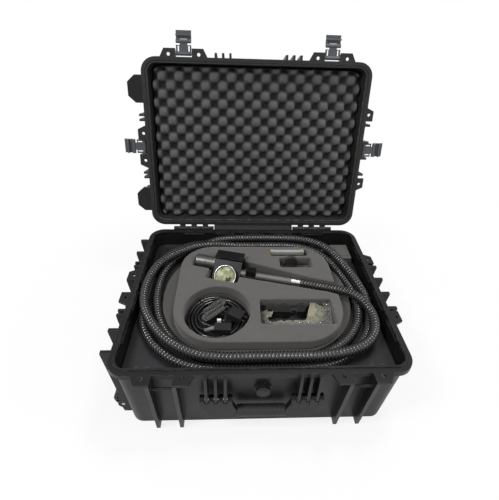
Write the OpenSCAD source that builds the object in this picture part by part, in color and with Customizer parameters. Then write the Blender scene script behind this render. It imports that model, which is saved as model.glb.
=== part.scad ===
// Pulse laser machine packed in a wheeled hard case, lid open.
// Origin: centre of the case's bottom face. X right, Y back, Z up, millimetres.

/* [Case] */
// Width of the case over its rim
case_w = 630; // [600:5:680]
// Depth of the case over its rim
case_d = 495; // [480:5:540]
// Height of the base's rim above the floor
base_h = 204; // [200:2:220]
// Width of the base at its bottom
foot_w = 582; // [560:2:600]
// Depth of the base at its bottom
foot_d = 440; // [430:2:460]
// Height of the lid above the rim
lid_h = 68; // [66:1:80]
// Thickness of the moulded walls
wall = 5; // [4:0.5:6]
// Corner radius of the rim seen from above
corner_r = 40; // [34:1:48]
// Angle of the open lid
lid_open = 97.5; // [92:0.5:105]

/* [Rim and ribs] */
// How far the rim stands out from the wall
rim_over = 10; // [8:1:12]
// Thickness of the rim flange
rim_t = 12; // [10:1:14]
// Width of the sealing tongue on the base rim
tongue_w = 4; // [3:0.5:5]
// Height of the sealing tongue
tongue_h = 3; // [2:0.5:4]
// Thickness of the heavy ribs
rib_t = 8; // [6:1:9]
// Thickness of the light ribs
light_rib_t = 6; // [4:0.5:7]
// How far ribs and padlock plates reach past the rim
rib_out = 21.5; // [16:0.5:24]
// Diameter of the padlock holes
padlock_bore = 9; // [7:0.5:10]

/* [Hinge and latches] */
// Distance of the hinge axis behind the rim
hinge_back = 11; // [10:0.5:14]
// Diameter of the hinge pins
hinge_pin_d = 5; // [4:0.5:6]
// Distance of each front latch from the middle
front_latch_x = 200; // [190:1:205]
// Width of the latch levers
latch_w = 40; // [36:1:41]
// Distance between the two pivots of a latch
link_len = 31; // [28:1:34]
// Length of a latch lever past its pivot
lever_len = 27; // [22:1:30]

/* [Carrying] */
// Height of the carry handle's pivots
handle_z = 125; // [120:1:135]
// Distance from the carry handle's pivot to its grip
handle_drop = 48; // [44:1:54]
// Diameter of the carry handle's grip
grip_d = 24; // [20:1:26]
// Length of the carry handle's grip
grip_len = 104; // [90:2:106]
// Radius of the wheels
wheel_r = 25.5; // [22:0.5:25.5]
// Width of the wheels
wheel_w = 42; // [30:1:44]
// How far the pull handle slides out
pull_travel = 290; // [150:10:290]

/* [Deck and foam] */
// Height of the deck panel's top face
deck_z = 160; // [156:1:164]
// Thickness of the deck panel
deck_t = 4; // [3:0.5:5]
// Height of the lower foam tier
tier_h = 13; // [10:1:14]
// Height of the foam island's top face
island_z = 200; // [196:1:202]
// Radius of the round pit for the power cable
pit_r = 79; // [76:1:82]
// Spacing of the egg-crate peaks along X
crate_pitch_x = 48; // [44:1:52]
// Spacing of the egg-crate peaks along Y
crate_pitch_y = 49.2; // [44:0.2:52]
// Depth of the egg-crate pits
crate_depth = 20; // [14:1:22]

/* [Laser head] */
// Width of the scanning head
head_w = 75; // [70:1:78]
// Height of the scanning head's top face
head_top_z = 219; // [214:0.5:219]
// Diameter of the lens barrel
barrel_d = 60; // [52:1:60]
// Diameter of the grip tube
tube_d = 18; // [14:0.5:18]
// Length of the grip tube
tube_len = 139; // [120:1:142]
// Diameter of the side motor cylinder
motor_d = 36; // [30:1:38]

/* [Hose and cable] */
// Outer diameter of the corrugated hose
hose_d = 23; // [20:0.5:23]
// Diameter of the power cable
cable_d = 7.5; // [6:0.5:7.5]

/* [Hidden] */

$fn = 48;
hull_fn = 32;
over = 1;
seat_gap = 0.3;
run_gap = 0.06;
slide_gap = 0.1;
far_reach = 100;

// Case body
wall_w = case_w - 2 * rim_over;
wall_d = case_d - 2 * rim_over;
flange_z = base_h - rim_t;
foot_r = corner_r - rim_over - 4 * seat_gap;
lid_top_shrink = 10;
lid_gap = 0.4;
lid_z = base_h + lid_gap;
lid_top_z = base_h + lid_h;
function side_x(z) = foot_w / 2 + (wall_w - foot_w) / 2 * z / flange_z;
function side_y(z) = foot_d / 2 + (wall_d - foot_d) / 2 * z / flange_z;
ledge_len = 62;
ledge_pitch = 92;
ledge_t = 3;
ledge_h = 4;
ledge_drop = 9;

// Ribs and padlock plates
plate_t = 6;
rib_foot_out = 16;
bay_w = latch_w + 4;
plate_hole = 40;
plate_reach = 63;
plate_chamfer = 11;
hole_out = 6.5;
end_plate_in = 18;
end_plate_flat = 11;
end_plate_reach = 20;
end_plate_drop = 3;
end_rib_in = 14;
back_rib_out = 2;
side_rib_drop = 6;
well_plate_lift = 0.5;
left_light_ys = [78, 92];
wheel_rib_y = [135, 191.5];
right_rib_y = 75;
right_plate_y = 105.5;
back_rib_xs = [90, 30];
low_rib_z = 46;
catch_d = 6;
catch_z = base_h - 30;

// Hinge
hinge_y = case_d / 2 + hinge_back;
hinge_z = base_h - 3;
knuckle_d = 13;
hinge_mid_x = 187;
hinge_len = 124;
knuckles = 7;
knuckle_pitch = hinge_len / knuckles;
knuckle_gap = 0.6;
hinge_arm = 22;

// Latches
latch_pin_d = 4;
latch_eye_d = 10;
pivot_out = 7.5;
pivot_up = 11;
link_t = 5;
lever_t = 4.5;
lever_under = 3.4;
lug_t = 5;

// Carry handle
handle_rib_xs = [76, 95.5, 115];
handle_lug_xs = [66.5, 85.75, 105.25, 124.5];
handle_lug_t = 10;
handle_pin_d = 6;
handle_inset = 0.5;
handle_y = handle_inset - case_d / 2;
handle_rib_out = 10.5;
handle_lug_d = 16;
handle_rod_d = 12;
handle_in = 3;
grip_ring = 1.2;
cheek_t = 11;
cheek_reach = 22;
cheek_top = 14;
cheek_out = 130;
cheek_in = 52;
valve_x = 2;
valve_z = 141;
valve_d = 30;
valve_t = 9;
valve_boss_d = 36;
valve_inset = 10.5;
valve_boss_y = valve_inset - case_d / 2;
valve_stem_d = 16;
valve_notch_d = 3;
valve_cap_t = 2;
valve_boss_len = abs(valve_boss_y) - side_y(valve_z) + wall / 2;

// Wheels
wheel_inset = 4;
wheel_x = wheel_inset - case_w / 2;
wheel_lift = 0.5;
wheel_z = wheel_r + wheel_lift;
wheel_y = (wheel_rib_y[0] + wheel_rib_y[1]) / 2;
axle_d = 8;
hub_d = 20;
tread_step = 6;
wheel_rim = 7;
wheel_dish = 8;
spoke_t = 4;
wheel_room = 4;
well_d = 2 * wheel_r + 2 * wheel_room;
well_side = 39;
well_in = wheel_x + well_side;

// Pull handle
channel_w = 140;
channel_in = 34;
channel_h = 23.3;
grip_recess = 34;
grip_recess_x = case_w / 2 - grip_recess;
sleeve_y = 52;
sleeve_z = 13;
sleeve_od = 20;
pull_d = 16;
sleeve_keep = 30;
sleeve_end = 20;
sleeve_foot = 2;
tube_plug = 20;
pull_wall = 2;
sleeve_len = pull_travel + sleeve_keep;
sleeve_x = grip_recess_x - over - sleeve_len;
channel_x = sleeve_x - sleeve_end;
yoke_t = 14;
pull_grip_w = 132;
pull_grip_d = 16;
pull_grip_h = 18;
pull_grip_inset = 9;
pull_grip_x = case_w / 2 - pull_grip_inset;

// Deck
deck_gap = 2;
deck_r = 26;
post_w = 46;
post_d = 12;
post_in_x = 44;
post_in_y = 26.5;
post_x = side_x(deck_z) - wall - post_in_x;
post_y = side_y(deck_z) - wall - post_in_y;
screw_dx = 12.5;
screw_d = 5;
screw_head_d = 12;
screw_head_t = 2.5;
floor_z = wall;

// Foam island
tier_z = deck_z + tier_h;
island_half_w = 205;
island_front = -168;
island_back = 166;
island_front_r = 108;
island_back_r = 84;
tier_front_r = 172;
tier_back_r = 176;
tier_side = 35;
tier_front = 10;
tier_back = 22;
pit_x = -100;
pit_y = -77;
box_pit = [3, -120, 180, -43];
bar_slot = [45, 126, 152, 153];
disc_slot = [68, 76, 158, 116];

// Laser head, in its own frame: U along the grip tube, V back, Z up
gun_x = -44;
gun_y = 68;
gun_turn = -13.7;
ferrule_d = 20;
ferrule_len = 23;
ferrule_step = 2;
gun_z = tier_z + seat_gap + hose_d / 2;
head_u0 = -72;
head_u1 = head_u0 + head_w;
ferrule_end = head_u1 + tube_len + ferrule_len;
head_back_v = 42.5;
head_top_v = 17;
head_foot = deck_z + seat_gap;
head_toe = 4;
cover_t = 6;
cover_screw_in = 5;
cover_screw_d = 4;
cover_screw_sink = 1.5;
barrel_len = 15;
barrel_up = 51.8;
glass_lip = 4;
glass_seat = 2.5;
glass_d = barrel_d - 2 * glass_lip;
barrel_step = 5;
barrel_ring = 9;
barrel_foot = 3;
head_bore_lip = 3;
motor_step = 3;
motor_flange = 6;
glass_t = 3;
glass_sink = 3;
motor_v = 14;
motor_z = 194.6;
motor_len = 54;
switch_u = 18;
switch_len = 26;
switch_w = 18;
switch_top = 204;
button_d = 11;
button_travel = 2.5;
button_stem_d = 6;
button_rise = 5;
spring_wire = 0.8;
button_bore_len = 12;

// Hose
hose_bore = 10;
neck_bore = 11;
hose_ribs = 98;
hose_sides = 8;
hose_bore_rings = 67;
least_bend = 0.5;
rib_depth = 1.6;

// Connector block on the deck
block_side = 13.5;
block_behind = 35.5;
block_w = 51;
block_d = 63;
block_h = 26;
block_skin = 3;
block_lid_x = 12;
block_lid_side = 8;
block_lid_behind = 10;
block_lid_t = 2;
fitting_x = 18;
fitting_w = 22;
fitting_len = 16;
gland_in = 14;
block_x1 = side_x(deck_z) - wall - block_side;
block_x0 = block_x1 - block_w;
block_y1 = side_y(deck_z) - wall - block_behind;
block_y0 = block_y1 - block_d;
gland_y = block_y1 - gland_in;
gland_z = deck_z + 14.5;
gland_d = 26;
gland_len = 11;
gland_thread = 3;
gland_bore = 13;

// Small contents
disc_r = 22.6;
disc_t = 8;
ring_wall = 4;
spare_glass_t = 3;
disc_x = 99;
disc_y = 97;
case_x = 95;
case_y = 145.5;
case_len = 98;
case_t = 11;
case_h = 27.5;
clip_w = 8;
clip_h = 6;
clip_in = 5;
clip_rise = 1;
clip_over = 1;
plug_x = -54;
plug_y = -81;
plug_size = [35, 27, 19];
plug_turn = -31;
prong_len = 9;
prong_d = 4;
slot_w = 2;
slot_h = 5;
conn_x = -85;
conn_y = -120;
conn_size = [38, 20, 17];
conn_turn = -3;

// Inside
chassis_x = 230;
chassis_y = 150;
chassis_z = 42;
chassis_t = 3;
standoff_d = 14;
standoff_in = 12;
fin_slots = 12;
fin_slot_w = 6;
fin_depth = 14;
source_size = [270, 170, 86];
source_pos = [-215, -142];
supply_size = [128, 205, 52];
supply_pos = [88, -142];
supply_slots = 8;
supply_slot_w = 6;
supply_slot_in = 20;
supply_slot_h = 2;
board_size = [190, 96, 1.6];
board_pos = [-215, 46];
board_lift = 10;
board_hole_in = 6;
board_post_d = 6;
chips = 5;
chip_pitch = 33;
chip_size = [18, 28, 8.5];
chip_at = [20, 30];
socket_size = [140, 12, 11.4];
socket_at = [20, 70];
fan_size = 92;
fan_t = 25;
fan_x = 165;
fan_y = 130;
fan_bore = 88;
fan_hub_d = 34;
fan_shaft_d = 5;
fan_bar_t = 4;
fan_bar_w = 3;
fan_blades = 7;
blade_tilt = 28;
blade_len = 13;
blade_t = 2;
blade_front = 9;
blade_gap = 2;
rotor_shift = 3;
rotor_short = 10;
shaft_in = 6;
vent_len = 80;
vent_h = 5;
vent_pitch = 11;
vent_off = 75;

// Helpers
module rounded(w, d, r) {
    square([w - 2 * r, d], center = true);
    square([w, d - 2 * r], center = true);
    for (sx = [-1, 1], sy = [-1, 1]) translate([sx * (w / 2 - r), sy * (d / 2 - r)]) circle(r);
}

module slab(w, d, r, z, h) translate([0, 0, z]) linear_extrude(h) rounded(w, d, r);

module frustum(w0, d0, r0, z0, w1, d1, r1, z1) {
    hull() {
        translate([0, 0, z0]) linear_extrude(seat_gap) rounded(w0, d0, r0, $fn = hull_fn);
        translate([0, 0, z1 - seat_gap]) linear_extrude(seat_gap) rounded(w1, d1, r1, $fn = hull_fn);
    }
}

// A flat outline in the Y-Z plane, thick along X
module plate_x(t) translate([-t / 2, 0, 0]) rotate([90, 0, 90]) linear_extrude(t) children();

// A flat outline in the X-Z plane, thick along Y
module plate_y(t) translate([0, t / 2, 0]) rotate([90, 0, 0]) linear_extrude(t) children();

module bar_x(d, len) rotate([0, 90, 0]) cylinder(d = d, h = len, center = true);

module bar_y(d, len) rotate([90, 0, 0]) cylinder(d = d, h = len, center = true);

module tube_x(od, id, len) difference() {
    bar_x(od, len);
    bar_x(id, len + 2 * over);
}

module block(x0, y0, z0, x1, y1, z1) translate([x0, y0, z0]) cube([x1 - x0, y1 - y0, z1 - z0]);

// Turns a closed-lid shape into its open place
module opened() translate([0, hinge_y, hinge_z]) rotate([-lid_open, 0, 0])
    translate([0, -hinge_y, -hinge_z]) children();

// Repeats for the left and right halves
module both_x() {
    children();
    mirror([1, 0, 0]) children();
}

module both_y() {
    children();
    mirror([0, 1, 0]) children();
}

// Points of a smooth curve through hand-set points
function mix(a, b, c, d, t) = 0.5 * (2 * b + (c - a) * t + (2 * a - 5 * b + 4 * c - d) * t * t
    + (3 * b - a - 3 * c + d) * t * t * t);
function smooth(p, steps) = [
    for (i = [0:len(p) - 2], j = [0:steps - 1])
        mix(p[max(i - 1, 0)], p[i], p[i + 1], p[min(i + 2, len(p) - 1)], j / steps),
    p[len(p) - 1]];
function run(p, i = 0, s = 0, out = []) = i == len(p) ? out
    : run(p, i + 1, s + (i < len(p) - 1 ? norm(p[i + 1] - p[i]) : 0), concat(out, [s]));
function along(p, s, axis) = [for (i = [0:len(p) - 1]) [s[i], p[i][axis]]];
function unit(v) = v / norm(v);
function tangent(p, i) = unit(p[min(i + 1, len(p) - 1)] - p[max(i - 1, 0)]);
function ring(c, t, r, sides) = let (a = unit(cross([0, 0, 1], t)), b = cross(t, a))
    [for (k = [0:sides - 1]) c + r * (cos(360 * k / sides) * a + sin(360 * k / sides) * b)];
function band(base, next, sides, flip) = [for (k = [0:sides - 1])
    let (a = base + k, b = base + (k + 1) % sides, c = next + (k + 1) % sides, d = next + k)
    each flip ? [[a, c, b], [a, d, c]] : [[a, b, c], [a, c, d]]];

// A solid round tube along ring centres, with a radius for each ring
module cord(p, radii, sides) {
    n = len(p);
    pts = [for (i = [0:n - 1]) each ring(p[i], tangent(p, i), radii[i], sides)];
    walls = [for (i = [0:n - 2]) each band(i * sides, (i + 1) * sides, sides, true)];
    caps = [[for (k = [0:sides - 1]) k], [for (k = [sides - 1:-1:0]) (n - 1) * sides + k]];
    polyhedron(pts, concat(walls, caps), convexity = 10);
}

// Base shell
module wall_rib_y(x, t, top_out, z0) translate([x, 0, 0]) plate_x(t) polygon([
    [side_y(z0) - wall / 2, z0], [side_y(z0) + rib_foot_out, z0],
    [case_d / 2 + top_out, base_h - plate_t], [case_d / 2 + top_out, base_h - over],
    [side_y(flange_z) - wall / 2, base_h - over], [side_y(flange_z) - wall / 2, flange_z]]);

module wall_rib_x(y, t, top_out, z0) translate([0, y, 0]) plate_y(t) polygon([
    [side_x(z0) - wall / 2, z0], [side_x(z0) + rib_foot_out, z0],
    [case_w / 2 + top_out, base_h - plate_t], [case_w / 2 + top_out, base_h - over],
    [side_x(flange_z) - wall / 2, base_h - over], [side_x(flange_z) - wall / 2, flange_z]]);

// One padlock plate beside a latch bay, drawn with the bay's middle at X 0 and the rim at Y 0
module padlock_plate() difference() {
    polygon([[bay_w / 2, -rim_over / 2], [bay_w / 2, rib_out], [plate_reach - plate_chamfer, rib_out],
        [plate_reach, 0], [plate_reach, -rim_over / 2]]);
    translate([plate_hole, hole_out]) circle(d = padlock_bore);
}

module bay_plates() both_x() padlock_plate();

module end_plate() difference() {
    polygon([[right_plate_y - end_plate_in, -rim_over / 2], [right_plate_y - end_plate_in, rib_out - end_plate_drop],
        [right_plate_y + end_plate_flat, rib_out - end_plate_drop], [right_plate_y + end_plate_reach, 0], [right_plate_y + end_plate_reach, -rim_over / 2]]);
    translate([right_plate_y, hole_out]) circle(d = padlock_bore);
}

module rim_plates(z, t) translate([0, 0, z]) linear_extrude(t) {
    for (sx = [-1, 1]) translate([sx * front_latch_x, -case_d / 2]) mirror([0, 1]) bay_plates();
    translate([-case_w / 2, 0]) rotate(90) bay_plates();
    translate([case_w / 2, 0]) rotate(-90) both_x() end_plate();
}

module base_body() difference() {
    union() {
        frustum(foot_w, foot_d, foot_r, 0, wall_w, wall_d, corner_r - rim_over, flange_z + over);
        slab(case_w, case_d, corner_r, flange_z, rim_t);
    }
    difference() {
        frustum(foot_w - 2 * wall, foot_d - 2 * wall, foot_r - wall, 0,
            wall_w - 2 * wall, wall_d - 2 * wall, corner_r - rim_over - wall, flange_z + over);
        block(-case_w / 2, -case_d / 2, -over, case_w / 2, case_d / 2, floor_z);
    }
    slab(wall_w - 2 * wall, wall_d - 2 * wall, corner_r - rim_over - wall, flange_z, rim_t + over);
}

module rim_tongue() difference() {
    slab(wall_w - wall + tongue_w, wall_d - wall + tongue_w, corner_r - rim_over, base_h - over,
        tongue_h + over);
    slab(wall_w - wall - tongue_w, wall_d - wall - tongue_w, corner_r - rim_over - tongue_w,
        base_h - 2 * over, tongue_h + 4 * over);
}

module ledges() {
    z = base_h - ledge_drop;
    for (i = [-2:2]) both_y()
        translate([i * ledge_pitch - ledge_len / 2, wall_d / 2 - wall - ledge_t, z])
            cube([ledge_len, ledge_t + wall / 2, ledge_h]);
    for (i = [-1.5:1:1.5]) both_x()
        translate([wall_w / 2 - wall - ledge_t, i * ledge_pitch - ledge_len / 2, z])
            cube([ledge_t + wall / 2, ledge_len, ledge_h]);
}

module hinge_knuckles(first, arm_z0, arm_z1) both_x() for (i = [first:2:knuckles - 1])
    translate([hinge_mid_x - hinge_len / 2 + (i + 0.5) * knuckle_pitch, 0, 0]) plate_x(knuckle_pitch - knuckle_gap) {
        translate([hinge_y, hinge_z]) circle(d = knuckle_d);
        translate([hinge_y - hinge_arm, arm_z0]) square([hinge_arm - 0.2 * knuckle_d, arm_z1 - arm_z0]);
    }

module hinge_bores() both_x() translate([hinge_mid_x, hinge_y, hinge_z])
    bar_x(hinge_pin_d + run_gap, hinge_len + 2 * over);

// A rib that ends in an eye round the carry handle's pivot
module handle_rib(x) translate([x, 0, 0]) plate_x(light_rib_t) {
    translate([-handle_y, handle_z]) circle(d = handle_lug_d);
    polygon([[side_y(handle_z) - wall / 2, handle_z - handle_lug_d / 2], [-handle_y, handle_z - handle_lug_d / 2],
        [-handle_y + handle_lug_d / 2, handle_z], [case_d / 2 + handle_rib_out, base_h - plate_t],
        [case_d / 2 + handle_rib_out, base_h - over], [side_y(flange_z) - wall / 2, base_h - over],
        [side_y(flange_z) - wall / 2, flange_z]]);
}

module base_ribs() {
    mirror([0, 1, 0]) both_x() {
        for (s = [-1, 1]) wall_rib_y(front_latch_x + s * (bay_w + rib_t) / 2, rib_t, rib_out, 0);
        for (x = handle_rib_xs) handle_rib(x);
    }
    both_x() for (x = back_rib_xs) wall_rib_y(x, light_rib_t, back_rib_out, 0);
    mirror([1, 0, 0]) both_y() {
        wall_rib_x((bay_w + rib_t) / 2, rib_t, rib_out, 0);
        for (y = left_light_ys) wall_rib_x(y, light_rib_t, rib_out - side_rib_drop, 0);
        for (y = wheel_rib_y) {
            wall_rib_x(y, rib_t, rib_out, 0);
            translate([-wheel_x, y, wheel_z]) bar_y(3 * axle_d, rib_t);
            translate([0, y, 0]) plate_y(rib_t) polygon([[-well_in, well_plate_lift], [-wheel_x, well_plate_lift],
                [-wheel_x + axle_d, wheel_z], [-wheel_x + axle_d, well_d], [-well_in, well_d]]);
        }
    }
    both_y() {
        wall_rib_x((bay_w + rib_t) / 2, rib_t, rib_out, low_rib_z);
        wall_rib_x(right_rib_y, rib_t, rib_out, low_rib_z);
        wall_rib_x(right_plate_y - end_rib_in, light_rib_t, rib_out - end_plate_drop, 0);
    }
}

module catch_bars() {
    for (sx = [-1, 1]) translate([sx * front_latch_x, -case_d / 2 - pivot_out, catch_z])
        bar_x(catch_d, bay_w + rib_t);
    for (sx = [-1, 1]) translate([sx * (case_w / 2 + pivot_out), 0, catch_z])
        bar_y(catch_d, bay_w + rib_t);
}

module base_shell() color([0.11, 0.11, 0.11]) difference() {
    union() {
        base_body();
        rim_tongue();
        ledges();
        base_ribs();
        catch_bars();
        rim_plates(base_h - plate_t, plate_t);
        hinge_knuckles(0, flange_z, hinge_z);
        translate([valve_x, valve_boss_y + valve_boss_len / 2, valve_z]) bar_y(valve_boss_d, valve_boss_len);
        block(channel_x - wall, -channel_w / 2 - wall, 0, foot_w / 2, channel_w / 2 + wall,
            channel_h + wall);
        both_y() block(-foot_w / 2, wheel_rib_y[0], 0, well_in + wall, wheel_rib_y[1], well_d + wall);
    }
    hinge_bores();
    translate([valve_x, valve_boss_y, valve_z]) bar_y(valve_stem_d + run_gap, 2 * valve_boss_d);
    both_x() translate([(handle_rib_xs[0] + handle_rib_xs[2]) / 2, handle_y, handle_z])
        bar_x(handle_pin_d + run_gap, 2 * grip_d);
    both_y() block(channel_x, channel_in, -over, grip_recess_x + over, channel_w / 2, channel_h);
    block(grip_recess_x, -channel_w / 2, -over, case_w / 2 + rib_out + over, channel_w / 2, channel_h);
    both_y() {
        block(-case_w / 2 - 2 * rib_out, wheel_rib_y[0] + rib_t / 2, -over, well_in,
            wheel_rib_y[1] - rib_t / 2, well_d);
        translate([wheel_x, wheel_y, wheel_z]) bar_y(axle_d + run_gap, 2 * wheel_w);
    }
    for (sx = [-1, 1], i = [0:4]) translate([sx * (back_rib_xs[0] + vent_off) - vent_len / 2, foot_d / 2 - 2 * wall,
        deck_z / 3 + i * vent_pitch]) cube([vent_len, 6 * wall, vent_h]);
}

// Lid
lid_rib_drop = 1;
lid_rib_out = rib_out - lid_rib_drop;
handle_rib_drop = 8;
lug_in = 4;
lug_lip = 2;
pad_r = 10;
groove_side = 2;
groove_over = 4;

module lid_rib_y(x, t, out) translate([x, 0, 0]) plate_x(t) polygon([
    [wall_d / 2 - wall / 2, lid_z], [case_d / 2 + out, lid_z], [case_d / 2 + out, lid_z + plate_t],
    [wall_d / 2 - lid_top_shrink + 2 * rim_over, lid_top_z - rim_over],
    [wall_d / 2 - lid_top_shrink - wall / 2, lid_top_z - over]]);

module lid_rib_x(y, t, out) translate([0, y, 0]) plate_y(t) polygon([
    [wall_w / 2 - wall / 2, lid_z], [case_w / 2 + out, lid_z], [case_w / 2 + out, lid_z + plate_t],
    [wall_w / 2 - lid_top_shrink + 2 * rim_over, lid_top_z - rim_over],
    [wall_w / 2 - lid_top_shrink - wall / 2, lid_top_z - over]]);

module latch_lugs() both_x() translate([(bay_w + lug_t) / 2, 0, 0]) plate_x(lug_t) polygon([
    [-rim_over - wall / 2, lid_z], [rib_out - lug_in, lid_z], [rib_out - lug_lip, lid_z + pivot_up],
    [rim_over, lid_z + 2 * pivot_up], [-rim_over - wall / 2, lid_z + 2 * pivot_up]]);

module latch_places() {
    for (sx = [-1, 1]) translate([sx * front_latch_x, -case_d / 2, 0]) mirror([0, 1, 0]) children();
    translate([-case_w / 2, 0, 0]) rotate(90) children();
    translate([case_w / 2, 0, 0]) rotate(-90) children();
}

module lid_closed() difference() {
    union() {
        difference() {
            union() {
                slab(case_w, case_d, corner_r, lid_z, rim_t);
                frustum(wall_w, wall_d, corner_r - rim_over, lid_z + over,
                    wall_w - 2 * lid_top_shrink, wall_d - 2 * lid_top_shrink, foot_r, lid_top_z);
            }
            frustum(wall_w - 2 * wall, wall_d - 2 * wall, corner_r - rim_over - wall, lid_z - over,
                wall_w - 2 * lid_top_shrink - 2 * wall, wall_d - 2 * lid_top_shrink - 2 * wall,
                foot_r - wall, lid_top_z - wall);
        }
        both_x() for (x = handle_rib_xs) mirror([0, 1, 0]) lid_rib_y(x, light_rib_t, lid_rib_out - handle_rib_drop);
        mirror([1, 0, 0]) both_y() for (y = left_light_ys) lid_rib_x(y, light_rib_t, lid_rib_out - side_rib_drop);
        both_y() lid_rib_x(right_rib_y, light_rib_t, lid_rib_out - side_rib_drop);
        latch_places() latch_lugs();
        rim_plates(lid_z, plate_t);
        hinge_knuckles(1, lid_z, lid_z + rim_t / 2);
        for (x = [-2:2]) translate([x * case_w / 7, 0, lid_top_z - over])
            linear_extrude(2 * over) rounded(case_w / 14, case_d * 0.7, pad_r);
    }
    hinge_bores();
    difference() {
        slab(wall_w - wall + tongue_w + groove_side, wall_d - wall + tongue_w + groove_side, corner_r - rim_over + over,
            lid_z - over, groove_h + over);
        slab(wall_w - wall - tongue_w - groove_side, wall_d - wall - tongue_w - groove_side,
            corner_r - rim_over - tongue_w - over, lid_z - 2 * over, groove_h + 4 * over);
    }
    latch_places() translate([0, pivot_out, lid_z + pivot_up])
        bar_x(latch_pin_d + run_gap, bay_w + 4 * lug_t);
}

groove_h = tongue_h + groove_over;
module lid_shell() color([0.12, 0.12, 0.12]) opened() lid_closed();

module lid_gasket() color([0.05, 0.05, 0.05]) opened() difference() {
    slab(wall_w - wall + tongue_w + groove_side - seat_gap, wall_d - wall + tongue_w + groove_side - seat_gap,
        corner_r - rim_over + over, base_h + tongue_h + seat_gap, lid_z + groove_h - base_h
        - tongue_h - 2 * seat_gap);
    slab(wall_w - wall - tongue_w - groove_side + seat_gap,
        wall_d - wall - tongue_w - groove_side + seat_gap,
        corner_r - rim_over - tongue_w - over, base_h, lid_h / 2);
}

// Egg-crate foam: a grid of peaks and pits, half a pitch apart
foam_gap = 1;
foam_top_z = lid_top_z - wall - seat_gap;
head_room = 3;
foam_peak_z = head_top_z + head_room;
foam_half_w = wall_w / 2 - lid_top_shrink - wall - foam_gap;
foam_half_d = wall_d / 2 - lid_top_shrink - wall - foam_gap;
foam_nx = 2 * floor(foam_half_w / (crate_pitch_x / 2));
foam_ny = 2 * floor(foam_half_d / (crate_pitch_y / 2));
foam_corner = (foot_r - wall) * (1 - sqrt(1 / 2));
function foam_edge(i, n) = i == 0 ? -1 : i == n ? 1 : 0;
function foam_pull(i, j) = abs(foam_edge(i, foam_nx) * foam_edge(j, foam_ny)) * foam_corner;
function foam_node(i, j, z) = [
    (2 * i / foam_nx - 1) * foam_half_w - foam_edge(i, foam_nx) * foam_pull(i, j),
    (2 * j / foam_ny - 1) * foam_half_d - foam_edge(j, foam_ny) * foam_pull(i, j), z];
function foam_height(i, j) = (i + j) % 2 == 0 ? foam_peak_z : foam_peak_z + crate_depth;
module lid_foam() color([0.27, 0.27, 0.27]) opened() {
    nx = foam_nx + 1;
    ny = foam_ny + 1;
    rim_nodes = concat([for (i = [0:foam_nx - 1]) [i, 0]], [for (j = [0:foam_ny - 1]) [foam_nx, j]],
        [for (i = [foam_nx:-1:1]) [i, foam_ny]], [for (j = [foam_ny:-1:1]) [0, j]]);
    back = nx * ny;
    edge = len(rim_nodes);
    pts = concat([for (j = [0:foam_ny], i = [0:foam_nx]) foam_node(i, j, foam_height(i, j))],
        [for (r = rim_nodes) foam_node(r[0], r[1], foam_top_z)], [[0, 0, foam_top_z]]);
    cells = [for (j = [0:foam_ny - 1], i = [0:foam_nx - 1]) let (a = j * nx + i, b = a + 1, c = a + nx + 1, d = a + nx)
        each (i + j) % 2 == 0 ? [[a, b, d], [b, c, d]] : [[a, b, c], [a, c, d]]];
    sides = [for (k = [0:edge - 1]) let (n = (k + 1) % edge, a = rim_nodes[k], b = rim_nodes[n],
        ia = a[1] * nx + a[0], ib = b[1] * nx + b[0])
        each [[ib, ia, back + k], [ib, back + k, back + n], [back + n, back + k, back + edge]]];
    polyhedron(pts, concat(cells, sides), convexity = 10);
}

// Ribbed bumpers that the case stands on when it is pulled
bumper_inset = 85;
bumper_ys = [bumper_inset - case_d / 2, case_d / 2 - bumper_inset];
bumper_len = 74;
bumper_out = 39;
bumper_h = 46;
bumper_rib_pitch = 7;
bumper_rib_t = 3;
module lid_bumpers() color([0.1, 0.1, 0.1]) opened() for (y = bumper_ys) translate([-case_w / 2, y, lid_z + over]) {
    plate = [[seat_gap, -bumper_len / 2], [-bumper_out / 2, -bumper_len / 2], [-bumper_out, -bumper_len / 4],
        [-bumper_out, bumper_len / 4], [-bumper_out / 2, bumper_len / 2], [seat_gap, bumper_len / 2]];
    translate([-seat_gap, 0, 0]) linear_extrude(rim_t - 2 * over) polygon(plate);
    translate([-seat_gap, 0, rim_t - 2 * over]) linear_extrude(bumper_h - rim_t)
        polygon([for (p = plate) [p[0] * 0.8, p[1] * 0.8]]);
    for (i = [-2:2]) translate([-bumper_out - over, i * bumper_rib_pitch - bumper_rib_t / 2, rim_t / 2 - over])
        cube([bumper_out / 2, bumper_rib_t, bumper_h - rim_t]);
}

module hinge_pins() color([0.6, 0.6, 0.62]) both_x() translate([hinge_mid_x, hinge_y, hinge_z])
    bar_x(hinge_pin_d, hinge_len - knuckle_gap);

// Latches, drawn at a bay: X along the rim, Y away from the case, Z up while the lid is shut
eye_r = latch_eye_d / 2;
claw_y = pivot_up + lid_z - catch_z - link_len + catch_d / 2 + 2 * seat_gap;
claw_t = 3.5;
module latch_link_shape() difference() {
    union() {
        translate([0, pivot_out, 0]) bar_x(latch_eye_d, latch_w);
        block(-latch_w / 2, pivot_out, -link_t / 2, latch_w / 2, pivot_out + link_len - latch_eye_d + over, link_t / 2);
        translate([0, pivot_out + link_len, 0]) bar_x(latch_eye_d, latch_w / 2);
        block(-latch_w / 4, pivot_out, -link_t / 2, latch_w / 4, pivot_out + link_len, link_t / 2);
    }
    translate([0, pivot_out, 0]) bar_x(latch_pin_d + run_gap, latch_w + 2 * over);
    translate([0, pivot_out + link_len, 0]) bar_x(latch_pin_d + run_gap, latch_w + 2 * over);
    both_x() block(latch_w * 0.3, pivot_out + eye_r + over, -link_t, latch_w * 0.4,
        pivot_out + link_len - latch_eye_d - over, link_t);
}

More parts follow.
